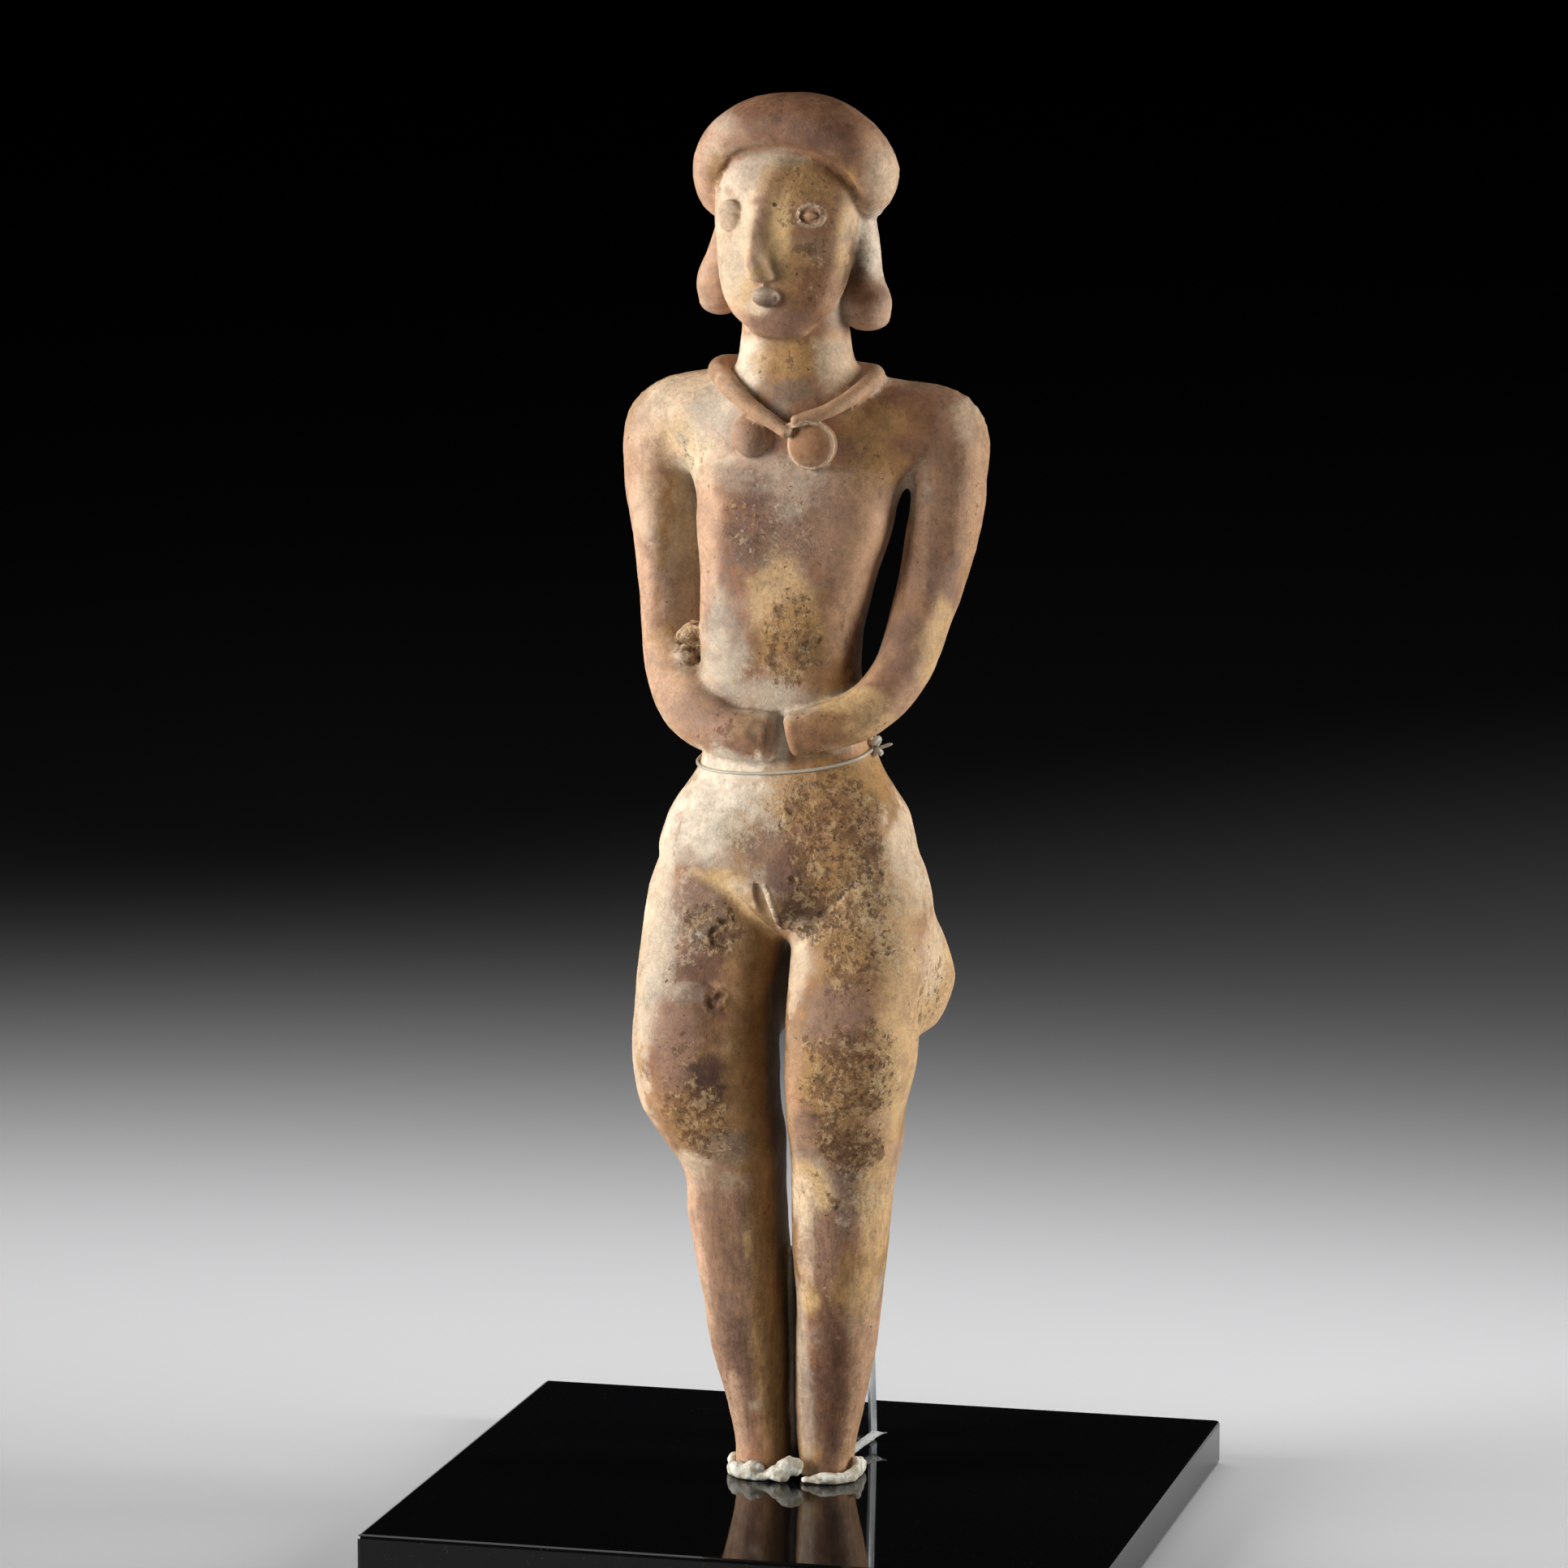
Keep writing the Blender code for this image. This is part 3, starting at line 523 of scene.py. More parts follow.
ARMS = [
    limb(ARM_RIGHT, BACKWARDS, inner=inner_arm_power, **ARM_LOOK),
    limb(ARM_LEFT, BACKWARDS, **ARM_LOOK),
]
BAND = limb(HEADBAND, BACKWARDS, power=2.1, caps=(2.0, 2.0), fillet=0.3, grow=WIPED)
SKULL = [
    upright(HEAD, power=2.35, caps=(2.2, 4.0), fillet=1.0),
    upright(NAPE, power=2.3, caps=(3.0, 4.0)),
    upright(FLAP_RIGHT, power=2.2, caps=(3.0, 2.0), fillet=1.6),
    upright(FLAP_LEFT, power=2.2, caps=(3.0, 2.0), fillet=1.6, grow=WIPED - 0.2),
    BAND,
    upright(NOSE, power=1.75, caps=(1.2, 2.0), fillet=nose_fillet, grow=0.0),
]


def broad_body(points):
    """The body without its applied pieces and creases."""
    body = join(together(LEGS, points), together(SEAT, points), SEAT_FILLET)
    body = join(body, together(UPPER, points), WAIST_FILLET)
    reach = arm_fillet(points)
    for arm in ARMS:
        body = join(body, together([arm], points), reach)
    return body


DEPTHS = np.arange(-27.0, 6.0, 0.2)  # tried one after another to find a front
LINE_STEP = 1.5  # how often a line's depth is found


def front_depth(shape, spots):
    """How far forward a shape's front lies at each x and z."""
    found = []
    for x, z in spots:
        line = np.column_stack([np.full(len(DEPTHS), x), DEPTHS, np.full(len(DEPTHS), z)])
        inside = np.nonzero(shape(line) < 0)[0]
        found.append(DEPTHS[inside[0]] if len(inside) else 0.0)
    return np.array(found)


def traced(shape, stations, lift=0.0, cut=True, fillet=0.8):
    """A thin groove or ridge on a shape's front, from rows of x, z and radius."""
    middle = smooth_rows([(x, 0.0, z, radius) for x, z, radius in stations], LINE_STEP)
    depth = front_depth(shape, middle[:, [0, 2]])
    rows = [
        (x, y - lift, z, radius, radius)
        for (x, _, z, radius), y in zip(middle, depth)
    ]
    end = min(rows[0][3], rows[-1][3])
    return limb(rows, SKEW, caps=(end, end), fillet=fillet, cut=cut)


def loop_of(x, z, half_wide, half_high, radius, sides=16):
    """Stations round an oval on the front."""
    turns = [2 * math.pi * i / sides for i in range(sides + 1)]
    return [
        (x + half_wide * math.cos(turn), z + half_high * math.sin(turn), radius)
        for turn in turns
    ]


def clod(middle, half, count):
    """Crumbs of dirt heaped together; the lattice's seeds give their places and sizes."""
    crumbs = []
    for i in range(count):
        cell = np.array([[i, 2 * i, 3]])
        place = [
            centre + reach * (2 * lattice(cell, seed)[0] - 1)
            for centre, reach, seed in zip(middle, half, (5, 6, 7))
        ]
        size = 0.9 + 1.1 * lattice(cell, 8)[0]
        crumbs.append(ball((*place, size, size, 0.8 * size), fillet=0.4))
    return crumbs


FACE_DETAILS = [
    ball(EYE_RIGHT, fillet=0.4),
    ball(EYE_LEFT, fillet=0.4),
    ball(MOUTH, fillet=0.5, tilt=-8.0),
]
BODY_DETAILS = [
    ball(MOUND, fillet=3.0),
    limb(NECKLACE, UPWARDS, caps=(1.4, 1.2), fillet=0.6),
    ball(BREAST_RIGHT, fillet=0.8),
    ball(BREAST_LEFT, fillet=0.5),
]
BODY_DETAILS += clod(DIRT, DIRT_HALF, CRUMBS)


def detailed_head(points):
    """The head with its pellets, before its lines, in its own frame."""
    return worked(together(SKULL, points), FACE_DETAILS, points)


def solid_body(points):
    """The body with its applied pieces, before anything is cut."""
    return worked(broad_body(points), BODY_DETAILS, points)


def cleft():
    """The slit of the groin, with its middle on the surface."""
    x, z = CLEFT_PLACE
    depth = front_depth(solid_body, [CLEFT_PLACE])[0]
    return ball((x, depth, z, *CLEFT_SIZES), fillet=0.5, cut=True, tilt=18.0)


def detailed_body(points):
    """The body with its cleft, before the creases."""
    return worked(solid_body(points), [CLEFT], points)


CLEFT = cleft()

# Lines on the front: x, z, radius.

BAND_LIP = [
    (-13.4, 269, 0.1),
    (-12.6, 271.2, 0.3),
    (-8.3, 275.8, 0.3),
    (-2.8, 277, 0.3),
    (4.6, 276.8, 0.35),
    (10.6, 274.4, 0.45),
    (14.4, 271.4, 0.45),
    (16, 268.6, 0.1),
]
EYE_LINE = [(-10.6, 263.6, 0.2), (-8.6, 264.1, 0.3), (-6.8, 263.8, 0.2)]
EYE_RING = loop_of(8.6, 263.5, 1.8, 1.3, 0.36)
EYE_RIM = loop_of(8.6, 263.5, 2.7, 2.1, 0.27)
MOUTH_LINE = [(-2.6, 247.4, 0.2), (0.2, 247, 0.5), (2.6, 246.9, 0.6)]
FACE_LINES = [
    traced(detailed_head, EYE_LINE, lift=0.12),
    traced(detailed_head, MOUTH_LINE),
    traced(detailed_head, EYE_RING),
    traced(detailed_head, EYE_RIM, lift=0.06, cut=False, fillet=0.3),
    traced(detailed_head, BAND_LIP, fillet=0.7),
]
RIGHT_CREASE = [(-17, 129.4, 0.1), (-10, 125.4, 0.4), (-5.2, 120.6, 0.4), (-0.4, 115.8, 0.1)]
LEFT_CREASE = [(17.5, 128.4, 0.1), (11.6, 121.8, 0.4), (8, 117.6, 0.5), (4.6, 114.4, 0.1)]
BREAST_RIM = loop_of(7.2, 217.0, 4.7, 4.7, 0.32)
CLEFT_SIDE = [(-0.9, 127.4, 0.1), (0.6, 122.8, 0.5), (1.6, 118, 0.1)]
BODY_LINES = [
    traced(detailed_body, RIGHT_CREASE, fillet=2.0),
    traced(detailed_body, LEFT_CREASE, fillet=1.6),
    traced(detailed_body, CLEFT_SIDE, lift=0.1, cut=False),
    traced(detailed_body, BREAST_RIM, cut=False, fillet=0.3),
]


def clay(points):
    """Signed distance of the whole figurine."""
    body = worked(detailed_body(points), BODY_LINES, points)
    in_head = turned(points, -HEAD_TURN)
    head = worked(detailed_head(in_head), FACE_LINES, in_head)
    field = join(body, head, NECK_FILLET)
    return -join(-field, points[:, 2], SOLE_FILLET)


# ---- drawing the surface out of the field -------------------------------------------

CORNERS = np.array([(x, y, z) for x in (0, 1) for y in (0, 1) for z in (0, 1)])
CELL_EDGES = [
    (a, b)
    for a in range(8)
    for b in range(a + 1, 8)
    if np.abs(CORNERS[a] - CORNERS[b]).sum() == 1
]


def sample_grid(shape_field, low, high, step):
    """A field on a grid of points."""
    axes = [np.arange(a, b + step, step) for a, b in zip(low, high)]
    shape = tuple(len(axis) for axis in axes)
    x, y, z = np.meshgrid(*axes, indexing="ij")
    points = np.column_stack([x.ravel(), y.ravel(), z.ravel()])
    return shape_field(points).reshape(shape)


def net_points(values, low, step):
    """One point in each cell that the surface crosses, and the cells' numbers."""
    size = tuple(n - 1 for n in values.shape)

    def corner(which):
        i, j, k = CORNERS[which]
        return values[i : i + size[0], j : j + size[1], k : k + size[2]]

    signs = np.stack([corner(c) < 0 for c in range(8)])
    crossed = signs.any(axis=0) & ~signs.all(axis=0)
    cells = np.argwhere(crossed)
    at = np.stack([corner(c)[crossed] for c in range(8)], axis=1)
    total = np.zeros((len(cells), 3))
    hits = np.zeros(len(cells))
    for a, b in CELL_EDGES:
        cross = (at[:, a] < 0) != (at[:, b] < 0)
        share = at[cross, a] / (at[cross, a] - at[cross, b])
        total[cross] += CORNERS[a] + share[:, None] * (CORNERS[b] - CORNERS[a])
        hits[cross] += 1
    numbers = np.full(size, -1)
    numbers[crossed] = np.arange(len(cells))
    return np.array(low) + step * (cells + total / hits[:, None]), numbers


def net_faces(values, numbers):
    """A quad across each grid edge that the surface crosses."""
    inside = values < 0
    quads = []
    for axis in range(3):
        first = np.moveaxis(inside, axis, 0)
        cells = np.moveaxis(numbers, axis, 0)
        leaves = first[:-1, 1:-1, 1:-1] & ~first[1:, 1:-1, 1:-1]
        enters = ~first[:-1, 1:-1, 1:-1] & first[1:, 1:-1, 1:-1]
        for crossing, flip in ((leaves, axis == 1), (enters, axis != 1)):
            i, j, k = np.nonzero(crossing)
            loop = [cells[i, j, k], cells[i, j + 1, k], cells[i, j + 1, k + 1], cells[i, j, k + 1]]
            if flip:
                loop.reverse()
            quads.append(np.column_stack(loop))
    return np.vstack(quads)


def field_slope(shape_field, points, values, reach=0.15):
    """The field's gradient by small steps."""
    steps = np.eye(3) * reach
    return np.column_stack([(shape_field(points + step) - values) / reach for step in steps])


def settle(shape_field, points, rounds=2, least=0.2, furthest=0.6):
    """Moves points onto the field's surface; the limits keep odd slopes from flinging one."""
    for _ in range(rounds):
        values = shape_field(points)
        slope = field_slope(shape_field, points, values)
        size = np.maximum((slope**2).sum(axis=1), least)
        step = np.clip(values / size, -furthest, furthest)[:, None] * slope
        points = points - step
    return points


def noise(points, size, seed):
    """Soft noise from -1 to 1 with lumps of about the given size."""
    scaled = points / size + 1000.0
    cells = np.floor(scaled).astype(np.int64)
    t = scaled - cells
    t = t * t * (3 - 2 * t)
    total = np.zeros(len(points))
    for corner in CORNERS:
        weight = np.prod(np.where(corner, t, 1 - t), axis=1)
        total += weight * lattice(cells + corner, seed)
    return 2 * total - 1


def cloud(points, size, seed, octaves=4):
    """Layered noise, each layer half the size and a little weaker."""
    total = np.zeros(len(points))
    weight, used = 1.0, 0.0
    for octave in range(octaves):
        total += weight * noise(points, size / 2**octave, seed + octave)
        used += weight
        weight *= 0.6
    return total / used * 1.6


def near_pits(points, reach):
    """Points within a few pit radii of the wider pits."""
    near = np.zeros(len(points), bool)
    for x, y, z, radius, _ in PITS:
        if radius > WIDE_PIT:
            near |= np.linalg.norm(points - np.array((x, y, z)), axis=1) < reach * radius + 1.0
    return near


# Where the mesh needs smaller faces: half width, back, lowest and highest.

FINE_BANDS = (
    (17, 1, 237, 275),  # face
    (18, 1, 210, 233),  # necklace and breasts
    (12, -8, 150, 166),  # hands
    (15, -8, 112, 133),  # groin
)


def fine_places(points):
    """The points in those bands and round the wider pits."""
    x, y, z = points.T
    fine = near_pits(points, 1.6)
    for half, back, low, high in FINE_BANDS:
        fine |= (np.abs(x) < half) & (y < back) & (z > low) & (z < high)
    return fine


# Where they are smaller still: x, z, radius and back.

HEAD_ROUNDS = (
    (9.1, 263.1, 4.2, -8),  # left eye
    (-8.8, 263.2, 4.2, -8),  # right eye
    (0, 247.3, 4.2, -10),  # mouth
)
BODY_ROUNDS = (
    (7.2, 217, 6, -8),  # left breast
    (-1, 122.5, 6.5, -10),  # cleft
)


def finest_places(points):
    """The points in those rounds and in the wider pits."""
    finest = near_pits(points, 1.2)
    for own, rounds in ((turned(points, -HEAD_TURN), HEAD_ROUNDS), (points, BODY_ROUNDS)):
        for x, z, radius, back in rounds:
            finest |= (np.hypot(own[:, 0] - x, own[:, 2] - z) < radius) & (own[:, 1] < back)
    return finest


def mesh_from(bm, name):
    """A mesh from bmesh data, which is freed."""
    mesh = bpy.data.meshes.new(name)
    bm.to_mesh(mesh)
    bm.free()
    return mesh


def net_mesh(shape_field, low, high, step, finer=()):
    """A closed mesh drawn out of a field, with faces halved where each of finer says so."""
    values = sample_grid(shape_field, low, high, step)
    points, numbers = net_points(values, low, step)
    faces = net_faces(values, numbers)
    mesh = bpy.data.meshes.new("net")
    mesh.from_pydata(points.tolist(), [], faces.tolist())
    bm = bmesh.new()
    bm.from_mesh(mesh)
    bpy.data.meshes.remove(mesh)
    for places in finer:
        bm.verts.index_update()
        chosen = places(np.array([vert.co for vert in bm.verts]))
        edges = [e for e in bm.edges if chosen[e.verts[0].index] and chosen[e.verts[1].index]]
        bmesh.ops.subdivide_edges(bm, edges=edges, cuts=1, use_grid_fill=True)
        bmesh.ops.triangulate(bm, faces=[f for f in bm.faces if len(f.verts) > 4])
    return mesh_from(bm, "net")


def mesh_points(mesh):
    """A mesh's vertices as an array."""
    flat = np.empty(len(mesh.vertices) * 3, np.float32)
    mesh.vertices.foreach_get("co", flat)
    return flat.reshape(-1, 3).astype(float)


def set_points(mesh, points):
    """Puts an array back as the mesh's vertices."""
    mesh.vertices.foreach_set("co", points.astype(np.float32).ravel())
    mesh.update()


def mesh_edges(mesh):
    """The pairs of vertices that edges join."""
    flat = np.empty(len(mesh.edges) * 2, np.int64)
    mesh.edges.foreach_get("vertices", flat)
    return flat.reshape(-1, 2)


def evened(values, edges, rounds):
    """Values at vertices, averaged with their neighbours' a few times."""
    count = np.bincount(edges.ravel(), minlength=len(values)).astype(float)[:, None]
    for _ in range(rounds):
        total = np.zeros_like(values)
        np.add.at(total, edges[:, 0], values[edges[:, 1]])
        np.add.at(total, edges[:, 1], values[edges[:, 0]])
        values = 0.5 * values + 0.5 * total / count
    return values


def place_on_base(points):
    """From the figure's frame in millimetres to the scene in metres."""
    placed = turned(points, FIGURE_TURN)
    placed += np.array((*FIGURE_PLACE, SOLE_HEIGHT))
    return placed * MM


def add_piece(name, mesh, node, material):
    """A piece that stands for a CAD node and takes its finish from a slot."""
    for polygon in mesh.polygons:
        polygon.use_smooth = True
    mesh.name = name
    piece = bpy.data.objects.new(name, mesh)
    bpy.context.scene.collection.objects.link(piece)
    mesh.materials.append(material)
    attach(piece, "root")
    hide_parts(node)
    return piece


# ---- relief of the clay -------------------------------------------------------------

WIDE_PIT = 1.2  # a pit wider than this gets smaller faces

# Pits: x, y, z, radius, depth.

PITS = [
    (-11, -18.6, 116, 2.5, 0.5),
    (-9.6, -18.8, 118.6, 1.4, 0.4),
    (-10.9, -21.7, 102.8, 1.7, 0.5),
    (-9.8, -21.8, 104.2, 1.25, 0.4),
    (13.6, -16.2, 60.2, 0.8, 0.6),
    (15, -15.8, 60, 0.7, 0.5),
    (12.3, -16.2, 56.9, 0.8, 0.5),
    (8.8, -16, 57.6, 0.9, 0.6),
    (10, -16.2, 56.8, 0.7, 0.5),
    (7.6, -14.4, 48.8, 0.7, 0.5),
    (17, -21, 84, 1.3, 0.5),
    (6.5, -15.2, 176.2, 1.1, 0.5),
    (9.5, -14.8, 177.5, 1, 0.5),
    (20.5, -7, 207, 0.8, 0.5),
    (3.9, -18.2, 142.6, 1.5, 0.5),
    (8.5, -18, 139, 1, 0.4),
    (5, -18.8, 128.6, 1, 0.5),
]


def lumps(points):
    """The hand-built unevenness of the surface, in millimetres."""
    broad = 0.22 * cloud(points, 19.0, 3, 2)
    middle = 0.10 * cloud(points, 6.0, 9, 2)
    fine = 0.05 * cloud(points, 2.4, 17, 2)
    long_ways = points * np.array((1.0, 1.0, 0.14))
    scrapes = 0.07 * cloud(long_ways, 1.9, 31, 2)
    shins = 1.0 - ramp(points[:, 2], 72.0, 84.0)
    arms = ramp(np.abs(points[:, 0]), 22.0, 26.0) * ramp(points[:, 2], 165.0, 172.0)
    face = ramp(points[:, 2], 236.0, 243.0) * ramp(-points[:, 1], 6.0, 10.0)
    return (broad + middle) * (1 - 0.6 * face) + fine + scrapes * np.clip(shins + arms, 0, 1)


def pit_depth(points):
    """Depth and raised rim of each pit, and how much of the surface is in one."""
    sunk = np.zeros(len(points))
    inside = np.zeros(len(points))
    for x, y, z, radius, depth in PITS:
        away = np.linalg.norm(points - np.array((x, y, z)), axis=1) / radius
        near = away < 2.2
        away = away[near] + 0.45 * noise(points[near], 1.1, 5)
        sunk[near] -= depth * (1 - ramp(away, 0.35, 1.0))
        sunk[near] += 0.25 * depth * np.exp(-(((away - 1.25) / 0.28) ** 2))
        inside[near] = np.maximum(inside[near], 1 - ramp(away, 0.6, 1.1))
    return sunk, inside


def slopes_of(shape_field, points):
    """Unit normals of a field at its surface."""
    slope = field_slope(shape_field, points, shape_field(points))
    return slope / np.maximum(np.linalg.norm(slope, axis=1), 1e-6)[:, None]


# ---- colours of the clay ------------------------------------------------------------

COLOURS = {
    "pale": (0.80, 0.68, 0.53),
    "cream": (0.69, 0.52, 0.35),
    "ash": (0.49, 0.40, 0.30),
    "pink": (0.567, 0.348, 0.222),
    "buff": (0.458, 0.265, 0.147),
    "yellow": (0.59, 0.38, 0.176),
    "ochre": (0.376, 0.207, 0.074),
    "brown": (0.254, 0.123, 0.053),
    "red": (0.228, 0.098, 0.047),
    "mauve": (0.25, 0.142, 0.092),
    "rose": (0.35, 0.205, 0.13),
    "purple": (0.128, 0.059, 0.035),
    "maroon": (0.076, 0.026, 0.013),
    # Drab is light enough to lift the right arm's shaded inner side, as painted light.
    "drab": (0.44, 0.345, 0.235),
    "olive": (0.20, 0.105, 0.034),
    "grey": (0.243, 0.171, 0.114),
    "umber": (0.087, 0.043, 0.02),
    # Near black serves the darkest crust and pits, and the painted shade between the shins.
    "near_black": (0.037, 0.026, 0.019),
}

# Patches: colour, strength, middle and half sizes. The head's are in its own frame.

HEAD_PATCHES = [
    # cheeks and brow
    ("cream", 0.9, (-9, -13, 256), (8, 8, 15)),
    ("pale", 0.5, (-7, -13, 272.5), (8, 6, 6)),
    ("brown", 0.9, (9, -12, 256), (8, 8, 16)),
    ("ochre", 0.8, (5.5, -13.5, 270), (8, 6, 5)),
    ("drab", 0.7, (1, -13, 276), (8, 5, 2.4)),
    ("brown", 0.7, (1.2, -13.6, 268.6), (1.3, 4, 3.4)),
    ("grey", 0.5, (8, -14, 256.5), (5, 5, 3.5)),
    ("yellow", 1.0, (1.7, -15.4, 259), (3, 4.6, 8)),
    ("ochre", 0.7, (6, -15, 252), (4, 4, 5)),
    ("red", 0.7, (9.5, -13, 248), (4.5, 5, 7)),
    ("yellow", 0.9, (14.6, -8, 256), (1.9, 6, 11)),
    ("cream", 0.6, (15.2, -8, 258), (1.3, 6, 8)),
    ("pink", 0.5, (13, -10, 246), (3, 5, 4)),
    # chin
    ("mauve", 0.9, (2.5, -15.5, 241.6), (8, 6, 3.2)),
    ("pink", 0.7, (-7, -14, 243.6), (4, 5, 3)),
    # nose and mouth
    ("pink", 0.6, (-1.8, -18, 262), (1.6, 3.5, 8)),
    # Partly painted shade: a dark red stripe down the nose's left flank, partly the clay's red and
    # partly the flank's shade.
    ("red", 0.45, (-0.4, -17, 262), (0.9, 3.5, 6)),
    ("cream", 0.8, (-4.6, -16, 260), (1.8, 4, 10)),
    ("ochre", 0.75, (-0.2, -19.4, 252.4), (2.2, 2, 2)),
    ("yellow", 0.6, (-4, -17, 247.4), (2.6, 3, 4)),
    ("cream", 0.85, (-2.4, -18, 245), (2.6, 3, 1.7)),
    # eyes
    ("rose", 0.8, (8.6, -14.4, 263.5), (3.4, 2.5, 2.6)),
    ("brown", 0.5, (8.6, -14.6, 263.5), (2, 2, 1.5)),
    ("mauve", 0.5, (8.6, -14.8, 263.5), (0.9, 2, 0.7)),
    ("pink", 0.3, (-8.9, -15.6, 263), (2.6, 2.5, 3)),
    # hair flaps
    ("pink", 0.9, (-19, -2, 250), (5, 6, 9)),
    ("red", 0.35, (-17, -4, 246), (2.5, 4, 3)),
    # Painted shade: the left hair flap's inner face, beside the cheek, is darkened.
    ("umber", 0.95, (13.6, -3, 253), (2.6, 5, 11)),
    ("pale", 0.8, (17.8, -2, 257.5), (3, 5, 8.5)),
    ("red", 0.9, (17.6, -3.5, 246.6), (3.2, 4, 3.6)),
    ("pink", 0.9, (17, -3, 242.4), (6, 5, 2.6)),
    ("ash", 0.6, (11.6, -4, 243.6), (2.6, 4, 3.6)),
]
BAND_PATCHES = [
    ("red", 0.95, (1, -6, 281), (21, 18, 10)),
    ("purple", 0.65, (4, -12, 279.6), (10, 6, 3.6)),
    ("pink", 0.75, (-11, -11, 278), (5, 8, 5)),
    ("pink", 0.9, (-15.5, -7, 271), (4.5, 9, 9)),
    ("cream", 0.5, (-13.5, -12, 275.5), (2.5, 3, 3)),
    ("red", 0.5, (-9, -12.5, 277), (3, 4, 2.5)),
    ("maroon", 0.6, (1.2, -12.8, 283.4), (1.5, 3, 1.1)),
    ("maroon", 0.5, (13.8, -11.4, 280.6), (2, 3, 1.4)),
    # Painted highlight: a pale spot high on the band's right front.
    ("pale", 0.35, (-11.5, -9, 281.5), (4, 6, 3)),
    ("buff", 0.9, (21, -6, 274), (4.5, 9, 9)),
    ("cream", 0.7, (21, -5, 272), (3.8, 7, 6)),
    ("mauve", 0.3, (0, -10, 280), (12, 10, 6)),
    ("purple", 0.7, (12.6, -11.5, 276.5), (5, 5, 5.5)),
    ("ochre", 0.7, (-12.8, -10, 271), (2.4, 5, 5)),
    ("drab", 0.5, (-4, -12, 276.4), (7, 4, 1.4)),
]
